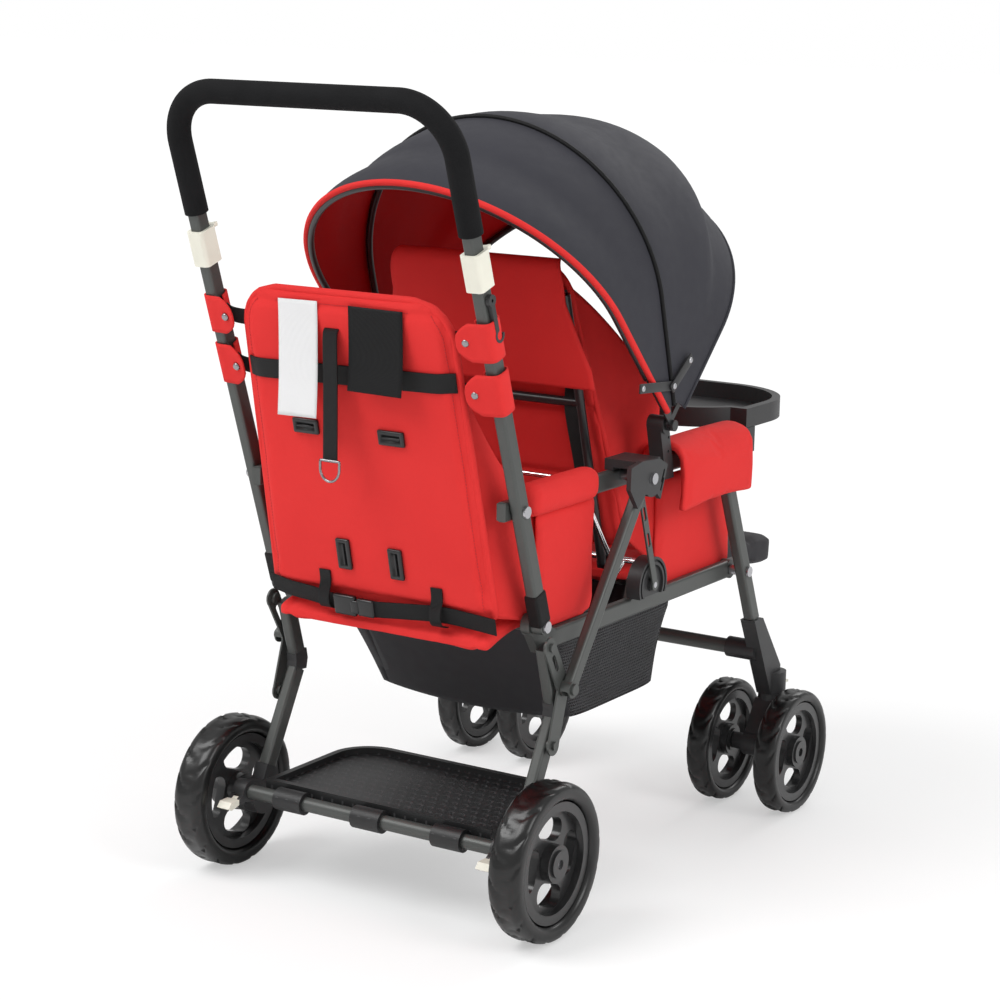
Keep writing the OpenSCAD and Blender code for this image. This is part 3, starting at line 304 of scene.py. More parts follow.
def foam():
    f = Finish("foam grip", (0.008, 0.008, 0.008), 0.82, Specular_IOR_Level=0.12)
    cells = f.node("TexVoronoi", values={"Vector": f.coords(), "Scale": 620.0})
    f.set({"Base Color": f.mix(f.noise(30, 3), (0.007, 0.007, 0.0075), (0.013, 0.013, 0.014))})
    return f.bump(cells, 0.0006, 0.5).mat


def metal(name, color, rough, scratch):
    f = Finish(name, color, rough, Metallic=1.0)
    f.set({"Roughness": f.noise(scratch, 3) * 0.2 + rough - 0.1})
    return f.bump(f.noise(scratch * 3, 1), 0.0001, 0.2).mat


PAINT = gunmetal()
BLACK = moulded("black plastic", (0.021, 0.021, 0.022), 0.46)
GLOSS = moulded("wheel plastic", (0.017, 0.017, 0.0175), 0.3, 900, 0.00008, 0.15)
RUBBER = moulded("tyre rubber", (0.003, 0.003, 0.003), 0.3, 700, 0.00006)
CREAM = moulded("cream plastic", (0.68, 0.665, 0.575), 0.42, 1200, 0.0001)
BUCKLE = moulded("buckle plastic", (0.005, 0.005, 0.0055), 0.3, 1200, 0.00006)
DECK = deck_plastic()
FOAM = foam()
STEEL = metal("zinc steel", (0.5, 0.5, 0.52), 0.34, 160)
NICKEL = metal("dark nickel", (0.3, 0.3, 0.31), 0.28, 200)
WIRE = metal("bright wire", (0.82, 0.82, 0.84), 0.16, 120)
SATIN_BLACK = moulded("black rod paint", (0.013, 0.013, 0.014), 0.33, 500, 0.00008)
print("hard finishes:", len(bpy.data.materials), "materials so far")

# %% [markdown]
# Each solid that came from CAD keeps its shape and takes a finish by what it is made of.

# %% Dress the solids
dress = {
    PAINT: "lower_frame strap_links handle_tube arm_rails braces knee_plates rear_legs front_leg_tubes "
           "front_cross_tube",
    STEEL: "frame_bolts arm_bolts rear_axles",
    WIRE: "recline_bail",
    FOAM: "handle_foam",
    DECK: "platform",
    SATIN_BLACK: "front_bow mid_bow rear_bow front_back_frame",
    RUBBER: "rear_tyre_l rear_tyre_r front_tyre_lo front_tyre_li front_tyre_ri front_tyre_ro",
    GLOSS: "rear_hub_l rear_hub_r front_hub_lo front_hub_li front_hub_ri front_hub_ro",
    CREAM: "latch_collar_l latch_collar_r brake_pedal_l brake_pedal_r swivel_lock_l swivel_lock_r "
           "tray_button_l tray_button_r",
    BLACK: "recline_quadrants storage_catch hinge_housings canopy_hubs knuckles axle_blocks leg_sockets "
           "caster_l caster_r tray",
}
for finish, names in dress.items():
    for name in names.split():
        nodes[name].data.materials.clear()
        nodes[name].data.materials.append(finish)
print("dressed", sum(len(n.split()) for n in dress.values()), "solids")

# %% [markdown]
# The seats are a plain woven polyester with a slight sheen. The weave is far finer than a pixel from a step
# away, but the cloth also puckers and creases, and those soft hollows are what the eye reads as fabric.

# %% Cloth finishes
RELIEF = 0.0011


def woven(name, color, deep, pitch=0.0011, rough=0.78, pucker=0.0026):
    f = Finish(name, color, rough, Specular_IOR_Level=0.18)
    x, y, z = f.axes()
    k = 2 * math.pi / pitch
    weave = (x * k).sin() * (z * k).sin() + (y * k).sin() * (z * k).sin() + (x * k).sin() * (y * k).sin()
    drift = f.noise(7, 4, 0.55)
    slub = f.noise(240, 2)
    f.set({"Base Color": f.mix(drift * 0.7 + slub * 0.25, deep, color), "Roughness": rough - 0.06 + slub * 0.12})
    creases = f.noise(16, 3, 0.55)
    return f.bump(weave * 0.035 + creases * (pucker / RELIEF), RELIEF, 0.8).mat


def twill(name, color, deep, pitch=0.0013):
    f = Finish(name, color, 0.72, Specular_IOR_Level=0.3)
    x, y, z = f.axes()
    k = 2 * math.pi / pitch
    ribs = ((x + y + z) * k).sin() * 0.5 + ((x - y + z * 0.6) * (k * 0.5)).sin() * 0.3
    drift = f.noise(5, 4, 0.55)
    f.set({"Base Color": f.mix(drift * 0.8 + ribs * 0.08, deep, color), "Roughness": 0.64 + f.noise(60, 2) * 0.16})
    return f.bump(ribs * 0.06 + f.noise(12, 3) * 1.2, 0.001, 0.7).mat


def netting():
    """Warp-knit net: small round holes in staggered rows."""
    f = Finish("basket net", (0.03, 0.03, 0.032), 0.7)
    x, y, z = f.axes()
    pitch = 0.0046
    u, v = (x + y) / pitch, z / pitch
    row = v.math("FLOOR", v)
    du, dv = (u + row * 0.5).part() - 0.5, v.part() - 0.5
    hole = (du * du + dv * dv).root() < 0.37
    tone = f.mix(f.noise(40, 2), (0.026, 0.026, 0.028), (0.05, 0.05, 0.053))
    f.set({"Base Color": tone, "Alpha": 1.0 - hole * 0.92})
    return f.bump(f.noise(700, 2), 0.0003, 0.5).mat


def webbing(pitch=0.0026):
    f = Finish("black webbing", (0.006, 0.006, 0.0065), 0.5, Specular_IOR_Level=0.35)
    x, y, z = f.axes()
    k = 2 * math.pi / pitch
    ribs = ((x + z) * k).sin() * ((x - z + y) * k).sin()
    f.set({"Base Color": f.mix(ribs * 0.5 + 0.5, (0.002, 0.002, 0.0025), (0.014, 0.014, 0.015))})
    return f.bump(ribs, 0.0009, 1.0).mat


RED = woven("red cloth", (0.79, 0.04, 0.037), (0.66, 0.026, 0.026))
RED_LINING = woven("red lining", (0.47, 0.002, 0.003), (0.37, 0.001, 0.002))
CHARCOAL = twill("charcoal twill", (0.042, 0.042, 0.052), (0.026, 0.026, 0.033))
DARK = twill("basket cloth", (0.043, 0.042, 0.046), (0.03, 0.029, 0.032))
NET = netting()
WEB = webbing()
THREAD = moulded("thread", (0.45, 0.012, 0.014), 0.7, 2000, 0.0001)
TAG_WHITE = woven("white tag", (0.8, 0.8, 0.8), (0.74, 0.74, 0.75), 0.0006, 0.6, 0.0004)
TAG_BLACK = woven("black tag", (0.009, 0.009, 0.0095), (0.006, 0.006, 0.0065), 0.0006, 0.5, 0.0004)
print("cloth finishes ready")

# %% [markdown]
# Most pieces start as a flat grid that a formula bends. Every new piece ends the same way: its bmesh becomes a mesh
# at the origin, smooth unless asked otherwise, with its finish, and rides on a body of the frame when one is given.

# %% Finishing a piece
SAME = 1e-6


def grid(across, along):
    """A flat sheet one metre square, centred on the origin."""
    bm = bmesh.new()
    bmesh.ops.create_grid(bm, x_segments=across, y_segments=along, size=0.5)
    return bm


def piece(bm, name, finish, body=None, nodes_hidden=(), smooth=True, tidy=True):
    if tidy:
        bmesh.ops.remove_doubles(bm, verts=bm.verts, dist=SAME)
        bmesh.ops.recalc_face_normals(bm, faces=bm.faces)
    mesh = bpy.data.meshes.new(name)
    bm.to_mesh(mesh)
    bm.free()
    obj = bpy.data.objects.new(name, mesh)
    bpy.context.scene.collection.objects.link(obj)
    for m in finish if isinstance(finish, list) else [finish]:
        mesh.materials.append(m)
    mesh.polygons.foreach_set("use_smooth", [smooth] * len(mesh.polygons))
    if body:
        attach(obj, body)
    if nodes_hidden:
        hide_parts(*nodes_hidden)
    return obj


def frame_of(origin, z_axis):
    """A place on the drawing: X across, Z along the given direction, Y out of the face."""
    z = Vector(z_axis).normalized()
    x = Vector((1, 0, 0))
    y = z.cross(x).normalized()
    return Matrix.Translation(origin) @ Matrix((x, y, z)).transposed().to_4x4()


print("piece maker ready")

# %% [markdown]
# Webbing, piping and stitches all follow a path. One tool bends a grid into a ribbon and gives it thickness, and
# another bends a grid into a round pipe.

# %% Tools for trim


def ribbon(path, width, thick, long=40, across=6):
    """A strap along path(u), whose width lies along the vector width(u)."""
    bm = grid(long, across)
    for v in bm.verts:
        u, w = v.co.x + 0.5, v.co.y
        v.co = path(u) + width(u) * w
    bmesh.ops.recalc_face_normals(bm, faces=bm.faces)
    bmesh.ops.solidify(bm, geom=bm.faces[:], thickness=thick)
    return bm


def pipe(path, radius, long=60, around=10):
    """A round bead along path(u)."""
    bm = grid(long, around)
    side = Vector((0.31, 0.17, 0.93)).normalized()
    for v in bm.verts:
        u, a = v.co.x + 0.5, 2 * math.pi * (v.co.y + 0.5)
        ahead = (path(min(1, u + 0.004)) - path(max(0, u - 0.004))).normalized()
        n1 = ahead.cross(side).normalized()
        v.co = path(u) + radius * (n1 * math.cos(a) + ahead.cross(n1) * math.sin(a))
    bmesh.ops.remove_doubles(bm, verts=bm.verts, dist=SAME)
    bmesh.ops.holes_fill(bm, edges=[e for e in bm.edges if e.is_boundary], sides=0)
    return bm


def block(size, place, bevel=0.0015, segments=3):
    bm = bmesh.new()
    bmesh.ops.create_cube(bm, size=1, matrix=Matrix.Diagonal((*size, 1)))
    bmesh.ops.bevel(bm, geom=bm.edges[:], offset=bevel, segments=segments, profile=0.5, affect="EDGES", material=-1)
    bmesh.ops.transform(bm, matrix=place, verts=bm.verts)
    return bm


def button(radius, depth, place):
    """A snap or rivet head that stands on its place along Z."""
    bm = bmesh.new()
    bmesh.ops.create_cone(bm, cap_ends=True, segments=24, radius1=radius, radius2=radius * 0.75, depth=depth)
    rim = [e for e in bm.edges if all(v.co.z > 0 for v in e.verts)]
    bmesh.ops.bevel(bm, geom=rim, offset=depth * 0.45, segments=3, profile=0.5, affect="EDGES", material=-1)
    bmesh.ops.transform(bm, matrix=place, verts=bm.verts)
    return bm


def join(bms):
    """One bmesh out of several."""
    whole = bmesh.new()
    for bm in bms:
        mesh = bpy.data.meshes.new("join")
        bm.to_mesh(mesh)
        bm.free()
        whole.from_mesh(mesh)
        bpy.data.meshes.remove(mesh)
    return whole


def stitches(path, count, length, normal, size=0.0007):
    """A row of short thread stitches along path(u)."""
    whole = []
    for i in range(count):
        u = (i + 0.5) / count
        p, ahead = path(u), (path(min(1, u + 0.002)) - path(max(0, u - 0.002))).normalized()
        n = normal.normalized()
        m = Matrix((ahead, n.cross(ahead).normalized(), n)).transposed().to_4x4()
        bm = bmesh.new()
        shape = Matrix.Diagonal((length, size * 1.4, size, 1))
        bmesh.ops.create_cube(bm, size=1, matrix=Matrix.Translation(p) @ m @ shape)
        whole.append(bm)
    return join(whole)


def polyline(points):
    """A path that runs through points at an even pace."""
    pts = [Vector(q) for q in points]
    run = [0.0]
    for a, b in zip(pts, pts[1:]):
        run.append(run[-1] + (b - a).length)

    def path(u):
        d = max(0.0, min(1.0, u)) * run[-1]
        k = max(i for i in range(len(pts) - 1) if run[i] <= d + 1e-12)
        f = (d - run[k]) / (run[k + 1] - run[k])
        return pts[k].lerp(pts[k + 1], f)
    return path


def curve(points, passes=3):
    """The same, with the corners rounded off by cutting them."""
    pts = [Vector(q) for q in points]
    for _ in range(passes):
        cut = [pts[0]]
        for a, b in zip(pts, pts[1:]):
            cut += [a.lerp(b, 0.25), a.lerp(b, 0.75)]
        pts = cut + [pts[-1]]
    return polyline(pts)


print("trim tools ready")

# %% [markdown]
# A stuffed pad starts as a flat grid with rounded corners. Solidify gives it two faces, a voxel remesh evens the
# mesh, and Cloth with a little air pressure swells it, as batting does. A limit on each point's travel keeps the
# pad in the room that its solid holds. The sewn channels are pressed in afterwards.

# %% Stuffed pads


def outline(half0, half1, height, low, top):
    """Half the width of a pad at each height, with rounded corners."""

    def half(z):
        w = half0 + (half1 - half0) * z / height
        for r, d in ((low, low - z), (top, z - (height - top))):
            if d > 0:
                w -= r - math.sqrt(max(0.0, r * r - d * d))
        return w
    return half


def pad_blank(name, half, height, thick, cells=5):
    bm = grid(int(2000 * half(height / 2) / cells), int(1000 * height / cells))
    for v in bm.verts:
        z = height * (0.5 - 0.5 * math.cos(math.pi * (v.co.y + 0.5)))
        v.co = (2 * v.co.x * half(z), 0, z)
    bm.normal_update()
    bmesh.ops.solidify(bm, geom=bm.faces[:], thickness=thick)
    mid = sum(v.co.y for v in bm.verts) / len(bm.verts)
    for v in bm.verts:
        v.co.y -= mid
    return piece(bm, name, RED)


def evaluated(obj):
    dg = bpy.context.evaluated_depsgraph_get()
    return bpy.data.meshes.new_from_object(obj.evaluated_get(dg), depsgraph=dg)


def swap_mesh(obj, mesh):
    old = obj.data
    mesh.name = old.name
    obj.data = mesh
    bpy.data.meshes.remove(old)
    mesh.polygons.foreach_set("use_smooth", [True] * len(mesh.polygons))


def points_of(obj):
    co = np.zeros(len(obj.data.vertices) * 3)
    obj.data.vertices.foreach_get("co", co)
    return co.reshape(-1, 3)


def set_points(obj, co):
    obj.data.vertices.foreach_set("co", co.ravel())
    obj.data.update()


def swell(jobs, frames=20):
    """Remesh the blanks, blow them all up at once with Cloth and keep the result. A job is a blank, its voxel
    size, its pressure and the travel it may have."""
    rest, blank = {}, {}
    for o, voxel, pressure, cap in jobs:
        blank[o.name] = points_of(o)
        m = o.modifiers.new("even", "REMESH")
        m.mode, m.voxel_size = "VOXEL", voxel
        mesh = evaluated(o)
        o.modifiers.clear()
        swap_mesh(o, mesh)
        rest[o.name] = points_of(o)
        c = o.modifiers.new("air", "CLOTH").settings
        c.quality, c.mass = 4, 0.3
        c.use_pressure, c.uniform_pressure_force = True, pressure
        c.effector_weights.gravity = 0
        c.tension_stiffness = c.compression_stiffness = 12
        c.bending_stiffness = 0.6
    for f in range(1, frames + 1):
        bpy.context.scene.frame_set(f)
    for o, voxel, pressure, cap in jobs:
        mesh = evaluated(o)
        o.modifiers.clear()
        swap_mesh(o, mesh)
        move = points_of(o) - rest[o.name]
        size = np.linalg.norm(move, axis=1, keepdims=True)
        co = rest[o.name] + move * np.minimum(1, cap / np.maximum(size, 1e-9))
        for k in (0, 2):
            a, b = blank[o.name][:, k], co[:, k]
            co[:, k] = a.min() + (b - b.min()) * (a.max() - a.min()) / (b.max() - b.min())
        set_points(o, co)
        print(o.name, "swelled by up to", round(float(size.max()) * 1000, 1), "mm, kept to", cap * 1000)
    bpy.context.scene.frame_set(1)


def press(obj, lines, depth, width=0.006):
    """Draw sewn channels into a pad that stands on X with its face along Y: lines are functions of distance."""
    co = points_of(obj)
    for line in lines:
        d = line(co)
        co[:, 1] -= np.sign(co[:, 1]) * depth * np.exp(-(d / width) ** 2) * np.minimum(1, np.abs(co[:, 1]) / 0.004)
    set_points(obj, co)


def settle(obj, matrix, body, hidden):
    """Put a filled pad in its place, soften it, let it ride on its body and hide the solids it stands in for."""
    obj.data.transform(matrix)
    s = obj.modifiers.new("soften", "SUBSURF")
    s.levels = s.render_levels = 1
    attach(obj, body)
    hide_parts(*hidden)
    return obj


LOW, TOP = at(0, 0, 398), at(0, -92.4, 800)
rest_frame = frame_of(LOW, TOP - LOW)
rest_len = (TOP - LOW).length
BACK = math.radians(16.5)
back_frame = frame_of(at(0, 338, 412), (0, -math.sin(BACK), math.cos(BACK)))
front_pad = back_frame @ Matrix.Translation((0, 0, 0.025))
SEAT_Z = 380.7


def flat_frame(ys):
    return Matrix.Translation(at(0, ys, SEAT_Z)) @ Matrix.Rotation(-math.pi / 2, 4, "X")


calf_frame = Matrix.Translation(at(0, 603.5, 363)) @ Matrix.Rotation(-math.pi / 2 - math.radians(5), 4, "X")

shapes = {
    "rear_back_pad": (outline(0.172, 0.157, rest_len, 0.012, 0.05), rest_len, 0.014),
    "rear_seat_pad": (outline(0.163, 0.163, 0.210, 0.012, 0.012), 0.210, 0.013),
    "front_back_pad": (outline(0.168, 0.128, 0.402, 0.02, 0.045), 0.402, 0.012),
    "front_seat_pad": (outline(0.137, 0.137, 0.231, 0.02, 0.03), 0.231, 0.014),
    "calf_rest_pad": (outline(0.140, 0.162, 0.184, 0.012, 0.03), 0.184, 0.032),
}
rear_back, rear_seat, front_back, front_seat, calf_rest = [pad_blank(k, *v) for k, v in shapes.items()]
stuffed = [rear_back, rear_seat, front_back, front_seat, calf_rest]
print("pads:", [(o.name, len(o.data.vertices)) for o in stuffed])

# %% [markdown]
# Side panels, arm covers and arm rolls are thin quilted cloth. Their blanks are cut here as well, so that one
# breath of air can fill them all together with the seats.

# %% Blanks for the sides and arms


def side_cloth(name, x, y0, y1, z0, z1, thick):
    long, tall = (y1 - y0) / 1000, (z1 - z0) / 1000
    o = pad_blank(name, outline(long / 2, long / 2, tall, 0.018, 0.01), tall, thick, 6)
    turn = Matrix.Translation(at(x, (y0 + y1) / 2, z0)) @ Matrix.Rotation(math.pi / 2, 4, "Z")
    return o, turn


COVER_BACK, COVER_LONG = 354, 200


def arm_cover(s, hand):
    """A cover folded over the arm: a path round its section, drawn out along the arm."""
    bm = grid(40, 30)
    x0, x1, low_in, low_out, z1 = 175.5, 227.4, 529.7, 482, 563
    path = [(x0, low_in), (x0, z1 - 4), (x0 + 5, z1 + 4), ((x0 + x1) / 2, z1 + 9)]
    path += [(x1 - 5, z1 + 4), (x1, z1 - 6), (x1 + 1, (z1 + low_out) / 2), (x1, low_out)]
    lengths = [0]
    for a, b in zip(path, path[1:]):
        lengths.append(lengths[-1] + math.dist(a, b))
    for v in bm.verts:
        u, w = (v.co.x + 0.5) * lengths[-1], v.co.y + 0.5
        k = max(i for i in range(len(path) - 1) if lengths[i] <= u + 1e-9)
        f = (u - lengths[k]) / (lengths[k + 1] - lengths[k])
        x, z = (path[k][j] + (path[k + 1][j] - path[k][j]) * f for j in (0, 1))
        v.co = at(s * x, COVER_BACK + w * COVER_LONG, z)
    for _ in range(6):
        bmesh.ops.smooth_vert(bm, verts=bm.verts, factor=0.4,
                              use_axis_x=True, use_axis_y=False, use_axis_z=True)
    o = piece(bm, "arm_cover_" + hand, RED)
    if sum(p.normal.z for p in o.data.polygons) < 0:
        o.data.flip_normals()
    pad = o.modifiers.new("batting", "SOLIDIFY")
    pad.thickness, pad.offset = 0.010, 1.0
    mesh = evaluated(o)
    o.modifiers.clear()
    swap_mesh(o, mesh)
    return o


def arm_roll(s, hand):
    bm = block((0.038, 0.162, 0.044), Matrix.Translation(at(s * 190, 106, 548)), 0.016, 6)
    return piece(bm, "arm_roll_" + hand, RED)


panels, covers, rolls = [], [], []
for s, hand in HANDS:
    panels.append(side_cloth("rear_side_" + hand, s * 187, 58, 200, 374, 528, 0.005))
    panels.append(side_cloth("front_side_" + hand, s * 175, 386, 600, 352, 523, 0.006))
    covers.append(arm_cover(s, hand))
    rolls.append(arm_roll(s, hand))
print("blanks:", len(panels), "side panels,", len(covers), "arm covers,", len(rolls), "rolls")

# %% [markdown]
# Air fills all the blanks in one run of the cloth, since each run steps through the same frames. A job names a
# blank, the voxel of its mesh, its pressure and how far a point may travel.

# %% Fill every pad in one pass
jobs = [(o, 0.005, 4.0, 0.006) for o in stuffed] + [(o, 0.005, 3.0, 0.003) for o, turn in panels]
jobs += [(o, 0.004, 3.0, 0.005) for o in covers] + [(o, 0.004, 3.0, 0.003) for o in rolls]
swell(jobs)
print("filled:", sum(len(j[0].data.vertices) for j in jobs), "points in", len(jobs), "pieces")

# %% [markdown]
# The sewn channels are pressed in after filling. Then each piece goes to its place and rides on its body. The side
# pieces hang on the arms.

# %% Sew the pads and put them in place
press(rear_back, [lambda c: c[:, 2] - 0.012, lambda c: c[:, 2] - (rest_len - 0.014),
                  lambda c: np.abs(c[:, 0]) - (0.162 - 0.036 * c[:, 2])], 0.0035, 0.004)
press(front_back, [lambda c: c[:, 2] - 0.1, lambda c: c[:, 2] - 0.2, lambda c: c[:, 2] - 0.3,
                   lambda c: np.abs(c[:, 0]) - (0.152 - 0.1 * c[:, 2])], 0.004, 0.005)
press(rear_seat, [lambda c: c[:, 2] - 0.105, lambda c: np.abs(c[:, 0]) - 0.145], 0.004, 0.005)
press(front_seat, [lambda c: c[:, 2] - 0.115, lambda c: np.abs(c[:, 0]) - 0.124], 0.004, 0.005)
press(calf_rest, [lambda c: c[:, 2] - 0.058, lambda c: c[:, 2] - 0.116], 0.004, 0.005)
calf_rest.data.materials.clear()
calf_rest.data.materials.append(DARK)
droop = points_of(rear_seat)
droop[:, 1] += 0.016 * np.clip(1 - droop[:, 2] / 0.075, 0, 1) ** 1.5
set_points(rear_seat, droop)
settle(rear_back, rest_frame, "handle", ["rear_seat_back"])
settle(rear_seat, flat_frame(-12), "chassis", ["rear_seat_cushion"])
settle(front_back, front_pad, "front_back", ["front_seat_back"])
settle(front_seat, flat_frame(362), "chassis", ["front_seat_cushion"])
settle(calf_rest, calf_frame, "chassis", ["leg_rest"])
for i, (o, turn) in enumerate(panels):
    settle(o, turn, "arms", [["rear_side_panels"], ["front_side_panels"], [], []][i])
    at(0, 0, (530, 522)[i % 2])
    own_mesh(o)
for i, (cover, puff) in enumerate(zip(covers, rolls)):
    settle(cover, Matrix.Identity(4), "arms", [["front_arm_pads"], []][i])
    at(0, 0, 566)
    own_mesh(cover)
    settle(puff, Matrix.Identity(4), "arms", [])
    at((183, -183)[i], 0, 0)
    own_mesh(puff)
print("pads sewn and placed:", len(jobs))

# %% [markdown]
# The canopy is one curved sheet over three bows. Each half runs from bow to bow on arches: straight legs up from
# the pivot and a half circle on top. A grid is bent onto those arches, then given its cloth thickness, charcoal
# outside and red inside.

# %% Canopy
BOW_HALF, HEM, HOOD_THICK = 0.2299, 0.03, 0.0022
LEGS_SHARE = 0.2


def arch_point(s, leg, elevation, half):
    low = LEGS_SHARE
    if s < low:
        x, d = half, HEM + (leg - HEM) * s / low
    elif s > 1 - low:
        x, d = -half, HEM + (leg - HEM) * (1 - s) / low
    else:
        a = math.pi * (s - low) / (1 - 2 * low)
        x, d = half * math.cos(a), leg + half * math.sin(a)
    return Vector((x, HUB.y + d * math.cos(elevation), HUB.z + d * math.sin(elevation)))


def profile(stops, degrees):
    """The length of the arch's legs at an elevation, eased from stop to stop."""
    for (e0, a), (e1, b) in zip(stops, stops[1:]):
        if degrees <= e1:
            u = max(0.0, (degrees - e0) / (e1 - e0))
            return a + (b - a) * u * u * (3 - 2 * u)
    return stops[-1][1]


def canopy(name, stops, hidden):
    """One sheet of the canopy between its first and last stop."""
    bm = grid(96, 48)
    for v in bm.verts:
        s, t = v.co.x + 0.5, v.co.y + 0.5
        degrees = stops[0][0] + (stops[-1][0] - stops[0][0]) * t
        v.co = arch_point(s, profile(stops, degrees), math.radians(degrees), BOW_HALF)
    obj = piece(bm, name, [CHARCOAL, RED_LINING])
    up_share = sum(p.normal.z for p in obj.data.polygons if abs(p.center.x) < 0.1)
    if up_share < 0:
        obj.data.flip_normals()
    cloth = obj.modifiers.new("cloth", "SOLIDIFY")
    cloth.thickness, cloth.offset = HOOD_THICK, 1.0
    cloth.material_offset, cloth.material_offset_rim = 1, 0
    mesh = evaluated(obj)
    obj.modifiers.clear()
    swap_mesh(obj, mesh)
    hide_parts(hidden)
    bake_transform(obj)
    return obj


MID_BOW, MID_LEG = 106, 0.180
front_stops = [(44, 0.168), (59, 0.154), (67, 0.176), (87, 0.164), (MID_BOW - 0.15, MID_LEG)]
rear_stops = [(MID_BOW + 0.15, MID_LEG), (120, 0.189), (134, 0.218)]
hood_front = canopy("hood_front", front_stops, "canopy_front")
hood_rear = canopy("hood_rear", rear_stops, "canopy_rear")


def sheet_area(obj):
    return sum(p.area for p in obj.data.polygons) / 2


for o, long in ((hood_front, 0.45), (hood_rear, 0.27)):
    area = sheet_area(o)
    print(o.name, "flat area", round(area, 3), "m2")

# %% [markdown]
# The rear seat back carries a carry strap with a D-ring, a belt right across, strap guides for the harness and two
# blank sewn tags. Rays cast at the stuffed pad find its real surface, so each piece lies on the cloth.

# %% Straps on the rear seat back
WEB_THICK = 0.0016
bpy.context.view_layer.update()
cloth_tree = BVHTree.FromObject(rear_back, bpy.context.evaluated_depsgraph_get())
OUT = rest_frame.to_3x3() @ Vector((0, -1, 0))
ACROSS = Vector((1, 0, 0))
UPWARD = rest_frame.to_3x3() @ Vector((0, 0, 1))


def on_back(x, z, lift=0.0):
    """The point of the pad's rear face at x across and z up, in millimetres, lifted off it by lift metres."""
    start = rest_frame @ Vector((x / 1000, -0.15, z / 1000))
    hit = cloth_tree.ray_cast(start, -OUT)[0]
    if hit is None:
        hit = rest_frame @ Vector((x / 1000, -0.008, z / 1000))
    return hit + OUT * lift


def on_place(x, z, lift, turn=0.0):
    """A frame on the pad: X across, Y up, Z out of the cloth."""
    m = Matrix((ACROSS, UPWARD, OUT)).transposed().to_4x4()
    return Matrix.Translation(on_back(x, z, lift)) @ m @ Matrix.Rotation(turn, 4, "Z")


belt = [on_back(x, 309 + 7 * (x + 160) / 320, 0.0012) for x in range(-154, 157, 10)]
piece(ribbon(curve(belt, 1), lambda u: UPWARD * 0.025, WEB_THICK, 60), "back_belt", WEB, "handle")

hang = on_back(-14.7, 372, 0.002)
low_end = hang + Vector((0.002, -0.004, -0.165))
over_cloth = [hang - OUT * 0.001, hang + OUT * 0.004 + Vector((0, 0, -0.004))]
hung = curve([*over_cloth, low_end + Vector((0, 0, 0.1)), low_end])
piece(ribbon(hung, lambda u: ACROSS * 0.021, 0.0018, 50), "carry_strap", WEB, "handle")
ring = low_end + Vector((0, 0, -0.004))
DEE_HALF, DEE_TOP, DEE_LOW, DEE_DROP = 0.0145, 0.006, -0.004, 0.016
bow = [(DEE_HALF * math.cos(a), DEE_LOW - DEE_DROP * math.sin(a)) for a in np.linspace(0.2, math.pi - 0.2, 13)]
dee = [(DEE_HALF, DEE_TOP), (DEE_HALF, DEE_LOW), *bow]
dee += [(-DEE_HALF, DEE_LOW), (-DEE_HALF, DEE_TOP), (DEE_HALF, DEE_TOP)]
dee = [ring + Vector((x, 0, z)) for x, z in dee]
piece(pipe(polyline(dee), 0.0017, 90, 10), "d_ring", NICKEL, "handle")


def guide(x, z, w, h, turn):
    """A strap guide: a rounded plate with a slot and a bar across it."""
    bm = block((w, h, 0.005), Matrix.Identity(4), 0.0022, 4)
    for sign in (1, -1):
        face = max(bm.faces, key=lambda f: sign * f.normal.z * f.calc_area())
        bmesh.ops.inset_region(bm, faces=[face], thickness=0.0038)
        middle = [f for f in bm.faces if f.calc_center_median().length < 0.004]
        face = max(middle, key=lambda f: sign * f.normal.z * f.calc_area())
        bmesh.ops.inset_region(bm, faces=[face], thickness=0.0006, depth=-0.0022)
    bar = block((w * 0.7, 0.003, 0.004), Matrix.Identity(4), 0.001, 2)
    bm = join([bm, bar])
    bmesh.ops.transform(bm, matrix=on_place(x, z, 0.0022, turn), verts=bm.verts)
    return bm


guides = [guide(x, z, 0.039, 0.02, 0) for x, z in ((-74.8, 238), (54.8, 236))]
guides += [guide(x, z, 0.042, 0.021, math.pi / 2) for x, z in ((-43, 67), (37, 64))]
piece(join(guides), "strap_guides", BUCKLE, "handle")


def tag(name, x0, x1, z, drop, finish):
    """A blank label sewn in at the top of the seat back, which hangs free below the first fold."""
    mid = on_back((x0 + x1) / 2, z, 0.003)
    wide = on_back(x1, z) - on_back(x0, z)
    over_edge = on_back((x0 + x1) / 2, z - 26, 0.003)
    left = drop - (over_edge - mid).length
    fall = [over_edge + Vector((0, 0.001, -left * 0.6)), over_edge + Vector((0, -0.002, -left))]
    o = piece(ribbon(curve([mid, over_edge, *fall]), lambda u: wide, 0.0004, 24, 12), name, finish, "handle")


tag("tag_long", -92, -34, 404, 0.145, TAG_WHITE)
tag("tag_short", 12, 94, 402, 0.104, TAG_BLACK)

